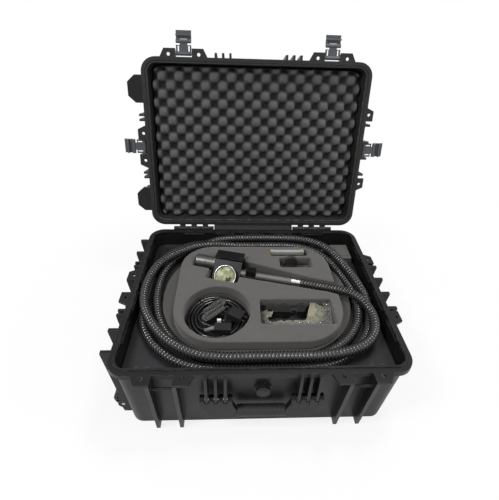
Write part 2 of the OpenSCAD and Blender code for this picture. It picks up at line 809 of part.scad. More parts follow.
module latch_lever_shape() translate([0, pivot_out + link_len, 0]) {
    difference() {
        union() {
            both_x() translate([latch_w * 3 / 8 + slide_gap, 0, 0])
                bar_x(latch_eye_d, latch_w / 4 - 2 * slide_gap);
            both_x() block(latch_w / 4 + 2 * slide_gap, 0, 0, latch_w / 2, eye_r + over + seat_gap, lever_under + lever_t);
            block(-latch_w / 2, eye_r + over, lever_under, latch_w / 2, lever_len, lever_under + lever_t);
            block(-latch_w / 2, lever_len - lever_t, lever_under, latch_w / 2, lever_len, lever_under + 1.5 * lever_t);
            block(-latch_w / 2, claw_y, -eye_r, latch_w / 2, claw_y + claw_t, lever_under + over);
        }
        bar_x(latch_pin_d, latch_w + 2 * over);
    }
    bar_x(latch_pin_d, latch_w - 2 * slide_gap);
}

module latch_at(i) {
    if (i < 2) translate([(2 * i - 1) * front_latch_x, -case_d / 2, lid_z + pivot_up]) mirror([0, 1, 0]) children();
    if (i == 2) translate([-case_w / 2, 0, lid_z + pivot_up]) rotate(90) children();
    if (i == 3) translate([case_w / 2, 0, lid_z + pivot_up]) rotate(-90) children();
}

module latch_link(i) color([0.16, 0.17, 0.19]) opened() latch_at(i) latch_link_shape();
module latch_lever(i) color([0.2, 0.22, 0.25]) opened() latch_at(i) latch_lever_shape();
module latch_pins() color([0.6, 0.6, 0.62]) opened() for (i = [0:3]) latch_at(i)
    translate([0, pivot_out, 0]) bar_x(latch_pin_d, bay_w + 2 * lug_t);

// Carry handle
module carry_handle() color([0.1, 0.1, 0.1]) translate([0, handle_y, 0]) {
    difference() {
        both_x() {
            for (x = handle_lug_xs) {
                translate([x, 0, handle_z]) bar_x(handle_lug_d, handle_lug_t);
                block(x - handle_lug_t / 2, -handle_lug_d / 2, handle_z - handle_lug_d / 2 - cheek_top,
                    x + handle_lug_t / 2, handle_lug_d / 2 - over, handle_z);
            }
            plate_y(cheek_t) polygon([
                [cheek_out, handle_z - handle_lug_d / 2 - over], [cheek_out, handle_z - cheek_reach],
                [cheek_out - cheek_reach, handle_z - handle_drop - handle_rod_d / 2],
                [cheek_out - 2 * cheek_reach, handle_z - handle_drop - handle_rod_d],
                [cheek_in + 2 * over, handle_z - handle_drop - handle_rod_d],
                [cheek_in, handle_z - handle_drop + handle_rod_d],
                [handle_lug_xs[0] - handle_lug_t / 2, handle_z - cheek_top],
                [handle_lug_xs[0] - handle_lug_t / 2, handle_z - handle_lug_d / 2 - over]]);
        }
        translate([0, 0, handle_z]) bar_x(handle_pin_d + 2 * run_gap, case_w / 2);
    }
    translate([0, handle_in, handle_z - handle_drop]) bar_x(handle_rod_d, 2 * cheek_in + 2 * over);
}

module handle_grip() color([0.07, 0.07, 0.07])
    translate([0, handle_y + handle_in, handle_z - handle_drop]) difference() {
        union() {
            bar_x(grip_d, grip_len - 2 * seat_gap);
            for (i = [-4:4]) translate([i * grip_len / 10, 0, 0]) bar_x(grip_d + grip_ring, grip_len / 20);
        }
        bar_x(handle_rod_d + run_gap, grip_len + over);
    }

module handle_pins() color([0.55, 0.55, 0.57]) both_x()
    translate([(handle_lug_xs[0] + handle_lug_xs[3]) / 2, handle_y, handle_z])
        bar_x(handle_pin_d, handle_lug_xs[3] - handle_lug_xs[0] + handle_lug_t - over);

module pressure_valve() color([0.12, 0.12, 0.12]) translate([valve_x, valve_boss_y, valve_z]) {
    translate([0, -valve_t / 2 - slide_gap, 0]) difference() {
        bar_y(valve_d, valve_t);
        for (a = [0:30:330]) rotate([0, a, 0]) translate([valve_d / 2, 0, 0]) bar_y(valve_notch_d, valve_t + over);
    }
    translate([0, -valve_t - slide_gap, 0]) bar_y(valve_d * 0.6, valve_cap_t);
    translate([0, valve_stem_d / 2, 0]) bar_y(valve_stem_d, valve_stem_d + 2 * slide_gap + 2 * over);
}

// Wheels
module wheel(sy) color([0.08, 0.08, 0.08]) translate([wheel_x, sy * wheel_y, wheel_z]) difference() {
    union() {
        bar_y(2 * wheel_r, wheel_w - tread_step);
        bar_y(2 * wheel_r - tread_step, wheel_w);
    }
    bar_y(axle_d + slide_gap, wheel_w + 2 * over);
    for (s = [-1, 1]) translate([0, s * wheel_w / 2, 0]) difference() {
        bar_y(2 * wheel_r - 2 * wheel_rim, wheel_dish);
        bar_y(hub_d, wheel_dish + over);
        for (a = [0:60:300]) rotate([0, a, 0]) translate([wheel_r / 2, 0, 0])
            cube([wheel_r, wheel_dish + over, spoke_t], center = true);
    }
}

module wheel_axles() color([0.6, 0.6, 0.62]) both_y() translate([wheel_x, wheel_y, wheel_z])
    bar_y(axle_d, wheel_rib_y[1] - wheel_rib_y[0] + rib_t);

// Pull handle
module pull_sleeves() color([0.25, 0.25, 0.26]) difference() {
    union() {
        both_y() translate([sleeve_x + sleeve_len / 2, sleeve_y, sleeve_z]) bar_x(sleeve_od, sleeve_len);
        for (x = [sleeve_x, sleeve_x + sleeve_len - yoke_t])
            both_y() block(x, channel_in + seat_gap, sleeve_foot, x + yoke_t, channel_w / 2 - seat_gap, channel_h - seat_gap);
    }
    both_y() translate([sleeve_x + sleeve_len / 2, sleeve_y, sleeve_z])
        bar_x(pull_d + slide_gap, sleeve_len + 2 * over);
}

module pull_tubes() color([0.62, 0.63, 0.65]) both_y() difference() {
    block_len = pull_grip_x - sleeve_x;
    translate([sleeve_x + block_len / 2, sleeve_y, sleeve_z]) bar_x(pull_d, block_len);
    translate([sleeve_x + block_len / 2 - tube_plug / 2, sleeve_y, sleeve_z]) bar_x(pull_d - 2 * pull_wall, block_len);
}

module pull_grip() color([0.09, 0.09, 0.09]) difference() {
    translate([pull_grip_x, 0, sleeve_z]) union() {
        cube([pull_grip_d, pull_grip_w - pull_grip_h, pull_grip_h], center = true);
        both_y() translate([0, pull_grip_w / 2 - pull_grip_h / 2, 0]) bar_x(pull_grip_h, pull_grip_d);
    }
    both_y() translate([pull_grip_x - pull_grip_d / 2, sleeve_y, sleeve_z]) bar_x(pull_d + run_gap, pull_grip_d);
}

// Deck
module screw_places() for (sx = [-1, 1], sy = [-1, 1], dx = [-1, 1])
    translate([sx * (post_x + dx * screw_dx), sy * post_y, deck_z]) children();

module deck_posts() color([0.13, 0.13, 0.13]) difference() {
    for (sx = [-1, 1], sy = [-1, 1]) translate([sx * post_x, sy * post_y, floor_z])
        translate([-post_w / 2, -post_d / 2, 0]) cube([post_w, post_d, deck_z - deck_t - floor_z]);
    screw_places() translate([0, 0, -4 * screw_head_d]) cylinder(d = screw_d + run_gap, h = 4 * screw_head_d);
}

module deck_panel() color([0.3, 0.3, 0.3]) difference() {
    slab(2 * side_x(deck_z - deck_t) - 2 * wall - 2 * deck_gap,
        2 * side_y(deck_z - deck_t) - 2 * wall - 2 * deck_gap, deck_r, deck_z - deck_t, deck_t);
    screw_places() cylinder(d = screw_d + 2 * slide_gap, h = far_reach, center = true);
}

module deck_screws() color([0.25, 0.25, 0.25]) screw_places() {
    difference() {
        cylinder(d = screw_head_d, h = screw_head_t);
        translate([0, 0, screw_head_t / 2]) cylinder(d = screw_d, h = screw_head_t, $fn = 6);
    }
    translate([0, 0, -deck_t - 3 * screw_d]) cylinder(d = screw_d, h = deck_t + 3 * screw_d + over);
}

// Foam
module foam_outline(w, y0, y1, rf, rb) {
    hull_steps = [for (a = [270:6:360]) [w - rf + rf * cos(a), y0 + rf + rf * sin(a)]];
    back_steps = [for (a = [0:6:90]) [w - rb + rb * cos(a), y1 - rb + rb * sin(a)]];
    right = concat(hull_steps, back_steps);
    polygon(concat(right, [for (k = [len(right) - 1:-1:0]) [-right[k][0], right[k][1]]]));
}

module gun_frame() translate([gun_x, gun_y, 0]) rotate(gun_turn) children();

head_pit_end = 10;
head_pit_side = 2;
head_pit_behind = 3;
head_pit_u0 = head_u0 - head_pit_end;
head_pit_front = -53.5;
motor_slot_end = 7;
motor_slot_room = 10;
motor_slot_len = motor_len + motor_slot_room;
motor_slot_front = 12;
motor_slot_sides = 14;
motor_slot_d = motor_d + motor_slot_sides;
slot_front = -30;
slot_back = 36;
slot_len = 300;
slot_flare = 8;
slot_flare_share = 0.8;
slot_back_shares = [[0, 1], [0.62, 1 / 3], [1, 2 / 9]];
module head_pit() gun_frame() translate([head_pit_u0, head_pit_front])
    square([head_u1 + head_pit_side - head_pit_u0, head_back_v + head_pit_behind - head_pit_front]);
module gun_slot() gun_frame() {
    translate([head_u0 - motor_len - motor_slot_end, motor_v - motor_d / 2 - motor_slot_front])
        square([motor_slot_len, motor_slot_d]);
    polygon(concat([[0, slot_front], [slot_flare_share * slot_len, slot_front], [slot_len, slot_front - slot_flare]],
        [for (k = [2:-1:0]) [slot_back_shares[k][0] * slot_len, slot_back_shares[k][1] * slot_back]]));
}
module pits() {
    translate([pit_x, pit_y]) circle(pit_r, $fn = 96);
    translate([box_pit[0], box_pit[1]]) square([box_pit[2] - box_pit[0], box_pit[3] - box_pit[1]]);
    head_pit();
}

module lower_foam() color([0.31, 0.3, 0.29]) translate([0, 0, deck_z]) linear_extrude(tier_h) difference() {
    foam_outline(island_half_w + tier_side, island_front - tier_front, island_back + tier_back,
        tier_front_r, tier_back_r);
    pits();
}

module island_foam() color([0.36, 0.35, 0.34]) translate([0, 0, tier_z]) linear_extrude(island_z - tier_z) difference() {
    foam_outline(island_half_w, island_front, island_back, island_front_r, island_back_r);
    pits();
    gun_slot();
    for (s = [bar_slot, disc_slot]) translate([s[0], s[1]]) square([s[2] - s[0], s[3] - s[1]]);
}

module connector_block() color([0.4, 0.4, 0.4]) {
    difference() {
        block(block_x0, block_y0, deck_z, block_x1, block_y1, deck_z + block_h);
        block(block_x0 + wall, block_y0 + wall, deck_z - over, block_x1 - wall, block_y1 - wall, deck_z + block_h - block_skin);
    }
    block(block_x0 + block_lid_x, block_y0 + block_lid_x, deck_z + block_h - over, block_x1 - block_lid_side,
        block_y1 - block_lid_behind, deck_z + block_h + block_lid_t);
    block(block_x0 + fitting_x, block_y0 - fitting_len, deck_z, block_x0 + fitting_x + fitting_w, block_y0,
        deck_z + block_h / 2);
}

module hose_gland() color([0.5, 0.5, 0.52]) translate([block_x0 - gland_len / 2, gland_y, gland_z]) difference() {
    union() {
        bar_x(gland_d, gland_len / 2);
        bar_x(gland_d - gland_thread, gland_len);
    }
    bar_x(gland_bore, gland_len + 2 * over);
}

// Hose: three turns round the island, from the ferrule to the gland
gun_dir = [cos(gun_turn), sin(gun_turn), 0];
hose_start = [gun_x, gun_y, gun_z] + ferrule_end * gun_dir;
HOSE_POINTS = [
    [180, 12, 185], [213, -2, 190], [240, -19, 195], [262, -46, 196], [272, -80, 196], [271, -112, 196],
    [258, -145, 196], [230, -173, 196], [185, -192, 196], [124, -201, 196], [60, -202, 196], [0, -202, 196],
    [-88, -202, 196], [-150, -190, 196], [-205, -158, 196], [-242, -118, 196], [-270, -72, 196],
    [-283, -25, 196], [-284, 25, 196], [-273, 75, 197], [-250, 113, 198], [-212, 145, 199], [-170, 168, 200],
    [-125, 178.5, 198], [-80, 186, 190], [-40, 187, 187], [50, 188, 187], [105, 186, 187], [151, 175, 187],
    [190, 152, 184], [217, 124, 179], [236, 88, 174], [248, 50, 172], [254, 15, 172], [255, -20, 172],
    [251, -58, 172], [240, -90, 172], [222, -118, 172], [196, -146, 172], [162, -169, 172],
    [115, -186, 172], [60, -191, 172], [0, -191, 172], [-60, -191, 172], [-118, -186, 172],
    [-172, -162, 172], [-216, -118, 172], [-241, -70, 172], [-254, -20, 172], [-258, 25, 172],
    [-256, 70, 172], [-245, 112, 172], [-224, 148, 172], [-190, 176, 175], [-150, 195, 184],
    [-126, 202.5, 190.5], [-100, 208, 195], [-50, 213, 196], [40, 215, 196], [110, 213, 196], [155, 203, 198], [196, 180, 199],
    [224, 147, 198], [242, 106, 197], [257, 62, 195], [271, 18, 190], [280, -22, 181], [277, -62, 173],
    [266, -98, 172], [252, -125, 172], [230, -152, 172], [200, -178, 172], [160, -200, 172],
    [110, -212, 172], [40, -215, 172], [-60, -215, 172], [-130, -210, 172], [-188, -190, 172],
    [-238, -150, 172], [-268, -102, 172], [-281, -50, 172], [-284, 0, 172], [-284, 50, 172], [-279, 95, 172],
    [-265, 136, 172], [-240, 173, 172], [-200, 203, 172], [-150, 217, 172], [-80, 218.5, 172],
    [0, 218.5, 172], [60, 218, 172], [100, 214, 172], [135, 205, 172], [160, 194, 173], [178, 186, 174]];
hose_end = [block_x0 - gland_len, gland_y, gland_z];
hose_way = smooth(concat([hose_start, hose_start + hose_d * gun_dir], HOSE_POINTS,
    [hose_end - [hose_d, 0, 0], hose_end]), 5);
hose_s = run(hose_way);
hose_length = hose_s[len(hose_s) - 1];
hose_x = along(hose_way, hose_s, 0);
hose_y = along(hose_way, hose_s, 1);
hose_z = along(hose_way, hose_s, 2);
function hose_at(s) = [lookup(s, hose_x), lookup(s, hose_y), lookup(s, hose_z)];
function hose_dir(s) = s <= hose_d ? gun_dir : s >= hose_length - hose_d ? [1, 0, 0]
    : unit(hose_at(s + hose_d / 2) - hose_at(s - hose_d / 2));

// Adds a list up, step by step
function sums(v, i = 0, s = 0, out = []) = i == len(v) ? concat(out, [s]) : sums(v, i + 1, s + v[i], concat(out, [s]));

// Places along the hose, closer together where it bends more
rib_s = [for (i = [0:2 * hose_ribs]) hose_d + (hose_length - 2 * hose_d) * i / (2 * hose_ribs)];
bends = sums([for (i = [0:2 * hose_ribs - 1])
    sqrt(least_bend + acos(min(1, hose_dir(rib_s[i]) * hose_dir(rib_s[i + 1]))))]);
function bend_place(share) = lookup(share * bends[len(bends) - 1], [for (i = [0:len(bends) - 1]) [bends[i], rib_s[i]]]);

module laser_hose() color([0.05, 0.05, 0.05]) {
    rib_rings = 2 * hose_ribs;
    outer_s = concat([0], rib_s, [hose_length]);
    outer_r = concat([hose_d / 2 - rib_depth],
        [for (i = [0:rib_rings]) i % 2 == 1 ? hose_d / 2 : hose_d / 2 - rib_depth], [hose_d / 2 - rib_depth]);
    bore_s = concat([0], [for (i = [0:hose_bore_rings]) bend_place(i / hose_bore_rings)], [hose_length]);
    n = len(outer_s);
    m = len(bore_s);
    pts = concat([for (i = [0:n - 1]) each ring(hose_at(outer_s[i]), hose_dir(outer_s[i]), outer_r[i], hose_sides)],
        [for (i = [0:m - 1]) each ring(hose_at(bore_s[i]), hose_dir(bore_s[i]), hose_bore / 2, hose_sides)]);
    inside = n * hose_sides;
    last_out = (n - 1) * hose_sides;
    last_in = inside + (m - 1) * hose_sides;
    faces = concat([for (i = [0:n - 2]) each band(i * hose_sides, (i + 1) * hose_sides, hose_sides, true)],
        [for (i = [0:m - 2]) each band(inside + i * hose_sides, inside + (i + 1) * hose_sides, hose_sides, false)],
        band(0, inside, hose_sides, false), band(last_out, last_in, hose_sides, true));
    polyhedron(pts, faces, convexity = 20);
}

// Least distance between strands of one cord that are further apart along it than near
function strand_gap(p, near) = min([for (i = [0:len(p) - 1], j = [i + near:1:len(p) - 1]) norm(p[i] - p[j])]);
hose_samples = [for (i = [0:hose_ribs]) hose_at(i * hose_length / hose_ribs)];
echo(hose_length = hose_length, hose_gap = strand_gap(hose_samples, 6) - hose_d);

// Laser head
module hose_ferrule() color([0.72, 0.72, 0.7]) translate([0, 0, gun_z]) gun_frame()
    translate([ferrule_end - ferrule_len / 2, 0, 0]) difference() {
        union() {
            bar_x(ferrule_d - ferrule_step, ferrule_len);
            translate([-ferrule_len / 4, 0, 0]) bar_x(ferrule_d, ferrule_len / 2);
            translate([ferrule_len / 3, 0, 0]) bar_x(ferrule_d, ferrule_len / 5);
        }
        bar_x(neck_bore, ferrule_len + 2 * over);
    }

function face_v(z) = head_top_v - (head_top_z - z);
barrel_v = face_v(head_top_z - barrel_up / sqrt(2));
barrel_z = head_top_z - barrel_up / sqrt(2);
module head_housing() color([0.08, 0.08, 0.09]) gun_frame() difference() {
    translate([(head_u0 + head_u1) / 2, 0, 0]) plate_x(head_w) polygon([
        [head_top_v, head_top_z - cover_t], [head_back_v, head_top_z - cover_t], [head_back_v, head_foot],
        [face_v(head_foot + head_toe), head_foot], [face_v(head_foot + head_toe), head_foot + head_toe],
        [face_v(head_top_z - cover_t), head_top_z - cover_t]]);
    head_axis() cylinder(d = glass_d - 2 * head_bore_lip, h = 2 * barrel_len, center = true);
    translate([(head_u0 + head_u1) / 2, 0, 0]) plate_x(head_w - 2 * wall) polygon([
        [head_top_v + wall, head_top_z - cover_t - wall], [head_back_v - wall, head_top_z - cover_t - wall],
        [head_back_v - wall, head_foot + wall], [head_top_v + wall, head_foot + wall]]);
}

// Places a shape on the slanted face, its Z along the lens axis
module head_axis() translate([(head_u0 + head_u1) / 2, barrel_v, barrel_z]) rotate([45, 0, 0]) children();

module head_cover() color([0.14, 0.14, 0.15]) gun_frame() difference() {
    block(head_u0 - over, head_top_v - cover_t, head_top_z - cover_t, head_u1 + over, head_back_v + over, head_top_z);
    translate([0, head_top_v - cover_t, head_top_z - cover_t - over]) rotate([45, 0, 0])
        cube([3 * head_w, 2 * cover_t, cover_t], center = true);
    for (u = [head_u0 + cover_screw_in, head_u1 - cover_screw_in],
        v = [head_top_v + cover_screw_in, head_back_v - cover_screw_in])
        translate([u, v, head_top_z - cover_screw_sink]) cylinder(d = cover_screw_d, h = cover_t, $fn = 6);
}

module side_motor() color([0.38, 0.38, 0.39]) gun_frame() translate([head_u0 - motor_len / 2, motor_v, motor_z]) {
    bar_x(motor_d - motor_step, motor_len);
    translate([-motor_len / 4, 0, 0]) bar_x(motor_d, motor_len / 2);
    translate([motor_len / 2 - motor_flange / 2, 0, 0]) bar_x(motor_d, motor_flange);
}

module lens_barrel() color([0.2, 0.2, 0.21]) gun_frame() head_axis() difference() {
    union() {
        cylinder(d = barrel_d - barrel_step, h = barrel_len);
        translate([0, 0, barrel_len - barrel_ring]) cylinder(d = barrel_d, h = barrel_ring);
        cylinder(d = barrel_d, h = barrel_foot);
    }
    translate([0, 0, -over]) cylinder(d = glass_d - 2 * glass_seat, h = barrel_len + 2 * over);
    translate([0, 0, barrel_len - glass_t - glass_sink]) cylinder(d = glass_d + run_gap, h = far_reach);
}

module lens_glass() color([0.75, 0.8, 0.72, 0.6]) gun_frame() head_axis()
    translate([0, 0, barrel_len - glass_t - glass_sink]) cylinder(d = glass_d, h = glass_t);

module grip_tube() color([0.42, 0.42, 0.43]) translate([0, 0, gun_z]) gun_frame() difference() {
    translate([head_u1 + tube_len / 2, 0, 0]) tube_x(tube_d, neck_bore, tube_len);
    block(switch_u - over, -switch_w / 2 - seat_gap, 0, switch_u + switch_len + over, switch_w / 2 + seat_gap, tube_d);
}

module switch_housing() color([0.07, 0.07, 0.07]) gun_frame() difference() {
    block(switch_u, -switch_w / 2, gun_z + slide_gap, switch_u + switch_len, switch_w / 2, switch_top);
    translate([switch_u + switch_len / 2, 0, switch_top - button_bore_len])
        cylinder(d = button_d + slide_gap, h = far_reach);
}

module trigger_button() color([0.12, 0.12, 0.13]) gun_frame() translate([switch_u + switch_len / 2, 0, switch_top]) {
    translate([0, 0, -button_rise]) cylinder(d = button_d, h = button_rise + button_travel + over);
    translate([0, 0, -button_bore_len + button_travel + over]) cylinder(d = button_stem_d / 2, h = button_bore_len / 2);
}

spring_turns = 4;
spring_rise = button_bore_len - button_rise - 2 * spring_wire;
module button_spring() color([0.6, 0.6, 0.6]) gun_frame()
    translate([switch_u + switch_len / 2, 0, switch_top - button_bore_len + spring_wire]) {
        pts = [for (i = [0:spring_turns * 8]) let (a = i * 45) [button_stem_d / 2 * cos(a) * 1.3,
            button_stem_d / 2 * sin(a) * 1.3, spring_rise * i / (spring_turns * 8)]];
        cord(pts, [for (p = pts) spring_wire / 2], 6);
    }

// Small contents
module spare_lens_ring() color([0.1, 0.1, 0.1]) translate([disc_x, disc_y, tier_z + seat_gap + disc_r])
    rotate([90, 0, 0]) difference() {
        cylinder(r = disc_r, h = disc_t, center = true);
        cylinder(r = disc_r - ring_wall, h = disc_t + over, center = true);
    }

module spare_lens_glass() color([0.7, 0.76, 0.7, 0.6])
    translate([disc_x, disc_y, tier_z + seat_gap + disc_r]) rotate([90, 0, 0])
        cylinder(r = disc_r - ring_wall - run_gap / 2, h = spare_glass_t, center = true);

module lens_case() color([0.6, 0.6, 0.58]) translate([case_x, case_y, tier_z + seat_gap + case_h / 2]) {
    cube([case_len, case_t, case_h], center = true);
    for (s = [-1, 1]) translate([s * (case_len / 2 - clip_in), 0, case_h / 2 + clip_rise - clip_h / 2])
        cube([clip_w, case_t + clip_over, clip_h], center = true);
}

// Power cable: three turns out on the pit's floor, then two turns back on top of them
cable_z = deck_z + seat_gap + cable_d / 2;
coil_in = 44;
coil_gap = 0.8;
coil_step = cable_d + coil_gap;
turn_rings = 24;
coil_up = 3 * turn_rings;
coil_flip = turn_rings / 4;
coil_down = 2.25 * turn_rings;
function coil_point(i) = let (
        a = 30 + 360 * i / turn_rings,
        out = min(i, coil_up) / turn_rings,
        back = max(i - coil_up - coil_flip, 0) / turn_rings,
        up = min(max(i - coil_up, 0), coil_flip) / coil_flip)
    [pit_x + (coil_in + coil_step * (out - back)) * cos(a),
        pit_y + (coil_in + coil_step * (out - back)) * sin(a), cable_z + coil_step * up];
coil_points = [for (i = [0:coil_up + coil_flip + coil_down]) coil_point(i)];
CABLE_LEAD_IN = [[-88, -60, 178], [-100, -56, 174], [-114, -58, 171], [-124, -69, 168], [-126, -84, 166],
    [-118, -99, 165], [-102, -107, 164], [-84, -107, 164], [-70, -97, 164], [-62.5, -81, 164]];
CABLE_LEAD_OUT = [[-137.5, -108.5, 173.2], [-129.6, -114.8, 176], [-120.4, -118.8, 180.5]];
coil_top = cable_z + coil_step + cable_d / 2;
plug_z = coil_top + seat_gap;
conn_z = coil_top + seat_gap;
plug_dir = [cos(plug_turn), sin(plug_turn), 0];
conn_dir = [cos(conn_turn), sin(conn_turn), 0];
plug_end = [plug_x, plug_y, plug_z + cable_d / 2 + seat_gap] - plug_size[0] / 2 * plug_dir;
conn_end = [conn_x, conn_y, conn_z + conn_size[2] / 2] - conn_size[0] / 2 * conn_dir;
cable_way = concat(
    smooth(concat([plug_end, plug_end - cable_d * plug_dir], CABLE_LEAD_IN, [coil_point(0), coil_point(1)]), 2),
    [for (i = [2:len(coil_points) - 2]) coil_points[i]],
    smooth(concat([coil_points[len(coil_points) - 1]], CABLE_LEAD_OUT, [conn_end - cable_d * conn_dir, conn_end]), 3));
module power_cable() color([0.06, 0.06, 0.06]) cord(cable_way, [for (p = cable_way) cable_d / 2], 6);
echo(cable_length = run(cable_way)[len(cable_way) - 1], cable_gap = strand_gap(cable_way, 5) - cable_d);

module power_plug() color([0.07, 0.07, 0.07]) translate([plug_x, plug_y, plug_z]) rotate(plug_turn) {
    translate([-plug_size[0] / 2, -plug_size[1] / 2, 0]) cube(plug_size);
    for (s = [-1, 1]) translate([plug_size[0] / 2 - over, s * plug_size[1] / 4, plug_size[2] / 2])
        rotate([0, 90, 0]) cylinder(d = prong_d, h = prong_len + over);
}

module cable_connector() color([0.06, 0.06, 0.06]) translate([conn_x, conn_y, conn_z]) rotate(conn_turn)
    difference() {
        translate([-conn_size[0] / 2, -conn_size[1] / 2, 0]) cube(conn_size);
        for (s = [-1, 0, 1]) translate([conn_size[0] / 2, s * conn_size[1] / 4, conn_size[2] / 2])
            cube([conn_size[0] / 2, slot_w, slot_h], center = true);
    }

// A lead in a corrugated sleeve, folded in three on top of the coil, with a bare lead at each end
lead_d = 11;
lead_rib = 1;
bare_d = 4;
lead_lift = 11.1;
lead_z = conn_z + lead_lift;
lead_len = 44;
lead_turn = 42;
lead_pitch = lead_d + coil_gap;
lead_x = -107.7;
lead_y = -65;
LEAD_SHARES = [[0.5, -1], [-0.5, -1], [-0.72, -0.9], [-0.78, -0.5], [-0.72, -0.1], [-0.5, 0], [0.5, 0],
    [0.72, 0.1], [0.78, 0.5], [0.72, 0.9], [0.5, 1], [-0.5, 1]];
function lead_place(p) = let (u = p[0] * lead_len, v = p[1] * lead_pitch)
    [lead_x + u * cos(lead_turn) - v * sin(lead_turn), lead_y + u * sin(lead_turn) + v * cos(lead_turn), lead_z];
lead_way = smooth([for (p = LEAD_SHARES) lead_place(p)], 3);
TIP_LEAD = [[-85.5, -60.9, 187.5], [-80.5, -56.4, 187.5], [-74.5, -55.5, 187.5], [-71.5, -61, 187], [-75, -69, 186.8],
    [-78.5, -77, 186.8], [-80, -86, 186.5], [-81, -93, 186], [-84.5, -97, 186], [-90, -97, 186]];
CONNECTOR_LEAD = [[-129.9, -69.1, 187.5], [-134.5, -73.2, 187.5], [-139.5, -79, 187.5], [-142, -87, 187.5],
    [-140, -96, 187], [-133, -103.5, 186.5], [-122, -108.5, 186], [-112, -111.56, 186], [-103.6, -112, 186]];
module sleeved_lead() color([0.06, 0.06, 0.06]) {
    cord(lead_way, [for (i = [0:len(lead_way) - 1]) i % 2 == 0 ? lead_d / 2 : lead_d / 2 - lead_rib], 6);
    for (way = [TIP_LEAD, CONNECTOR_LEAD]) {
        bare = smooth(way, 2);
        cord(bare, [for (q = bare) bare_d / 2], 6);
    }
}

tip_size = [9, 6, 7];
module lead_tip() color([0.85, 0.85, 0.82])
    translate(TIP_LEAD[len(TIP_LEAD) - 1] - [tip_size[0] / 2, 0, 0]) cube(tip_size, center = true);

// Goggles and their pouch
lens_w = 64;
lens_h = 40;
goggles_x = 88;
goggles_y = -58;
goggles_lift = 15.4;
goggles_tilt = 55;
goggles_z = deck_z + goggles_lift;
lens_pitch = 76;
lens_bulge = 8;
rim_grow = 6;
rim_depth = 5;
rim_back = 2;
lens_play = 0.1;
lens_t = 2.5;
lens_back = 0.5;
bridge_size = [16, 6, 4];
bridge_up = 4;
module goggles_place() translate([goggles_x, goggles_y, goggles_z]) rotate([goggles_tilt, 0, 0]) children();
module eye_shape(grow) {
    square([lens_w / 2 + grow, lens_h / 2 + grow], center = true);
    for (s = [-1, 1]) translate([s * lens_w / 4, 0]) circle(d = lens_h / 2 + grow + lens_bulge);
}
module goggles_frame() color([0.05, 0.05, 0.05]) goggles_place() {
    difference() {
        for (s = [-1, 1]) translate([s * lens_pitch / 2, 0, -rim_back]) linear_extrude(rim_depth) eye_shape(rim_grow);
        for (s = [-1, 1]) translate([s * lens_pitch / 2, 0, -rim_back - over])
            linear_extrude(rim_depth + 2 * over) eye_shape(lens_play);
    }
    translate([0, bridge_up, 0]) cube(bridge_size, center = true);
}
module goggles_lenses() color([0.12, 0.2, 0.12]) goggles_place()
    for (s = [-1, 1]) translate([s * lens_pitch / 2, 0, -lens_back]) linear_extrude(lens_t) eye_shape(0);

pouch_x = 94;
pouch_y = -99;
pouch_w = 148;
pouch_d = 18;
pouch_r = 9.75;
pouch_sides = 10;
pouch_shares = [[-0.5, -0.5, 0.8], [-0.23, -0.39, 0.93], [0.11, -0.39, 1], [0.45, -0.28, 0.87], [0.5, 0.5, 0.67],
    [-0.5, 0.17, 0.6], [0.04, 0.33, 0.73]];
module goggles_pouch() color([0.6, 0.58, 0.46]) hull() for (p = pouch_shares)
    translate([pouch_x + p[0] * pouch_w, pouch_y + p[1] * pouch_d, deck_z + seat_gap + p[2] * pouch_r * cos(18)])
        sphere(p[2] * pouch_r, $fn = pouch_sides);

// Inside, under the deck
module chassis_plate() color([0.7, 0.7, 0.72]) {
    block(-chassis_x, -chassis_y, chassis_z, chassis_x, chassis_y, chassis_z + chassis_t);
    for (sx = [-1, 1], sy = [-1, 1]) translate([sx * (chassis_x - standoff_in), sy * (chassis_y - standoff_in), floor_z])
        cylinder(d = standoff_d, h = chassis_z - floor_z + over);
}

in_z = chassis_z + chassis_t;
module laser_source() color([0.2, 0.2, 0.22]) translate([source_pos[0], source_pos[1], in_z]) difference() {
    cube(source_size);
    for (i = [1:fin_slots]) translate([i * source_size[0] / (fin_slots + 1) - fin_slot_w / 2, -over, source_size[2] - fin_depth])
        cube([fin_slot_w, source_size[1] + 2 * over, fin_depth + over]);
}

module power_supply() color([0.75, 0.75, 0.76]) translate([supply_pos[0], supply_pos[1], in_z]) difference() {
    cube(supply_size);
    for (i = [1:supply_slots]) translate([supply_slot_in, i * supply_size[1] / (supply_slots + 1) - supply_slot_w / 2,
        supply_size[2] - supply_slot_h])
        cube([supply_size[0] - 2 * supply_slot_in, supply_slot_w, supply_slot_h + over]);
}

module control_board() color([0.05, 0.3, 0.12]) translate([board_pos[0], board_pos[1], in_z]) {
    translate([0, 0, board_lift]) cube(board_size);
    for (x = [board_hole_in, board_size[0] - board_hole_in], y = [board_hole_in, board_size[1] - board_hole_in]) translate([x, y, 0])
        cylinder(d = board_post_d, h = board_lift + over);
    for (i = [0:chips - 1]) translate([chip_at[0] + i * chip_pitch, chip_at[1], board_lift + over])
        cube(chip_size + [0, 0, board_size[2] - over]);
    translate([socket_at[0], socket_at[1], board_lift + over]) cube(socket_size + [0, 0, board_size[2] - over]);
}

module fan_frame() color([0.1, 0.1, 0.1]) translate([fan_x, fan_y, in_z + fan_size / 2]) {
    difference() {
        cube([fan_size, fan_t, fan_size], center = true);
        bar_y(fan_bore, fan_t + 2 * over);
    }
    translate([0, fan_t / 2 - fan_bar_t / 2, 0]) difference() {
        union() {
            bar_y(fan_hub_d, fan_bar_t);
            for (a = [0:60:120]) rotate([0, a, 0]) cube([fan_bore + 2 * over, fan_bar_w, fan_bar_t], center = true);
        }
        bar_y(fan_shaft_d + slide_gap, fan_t);
    }
}

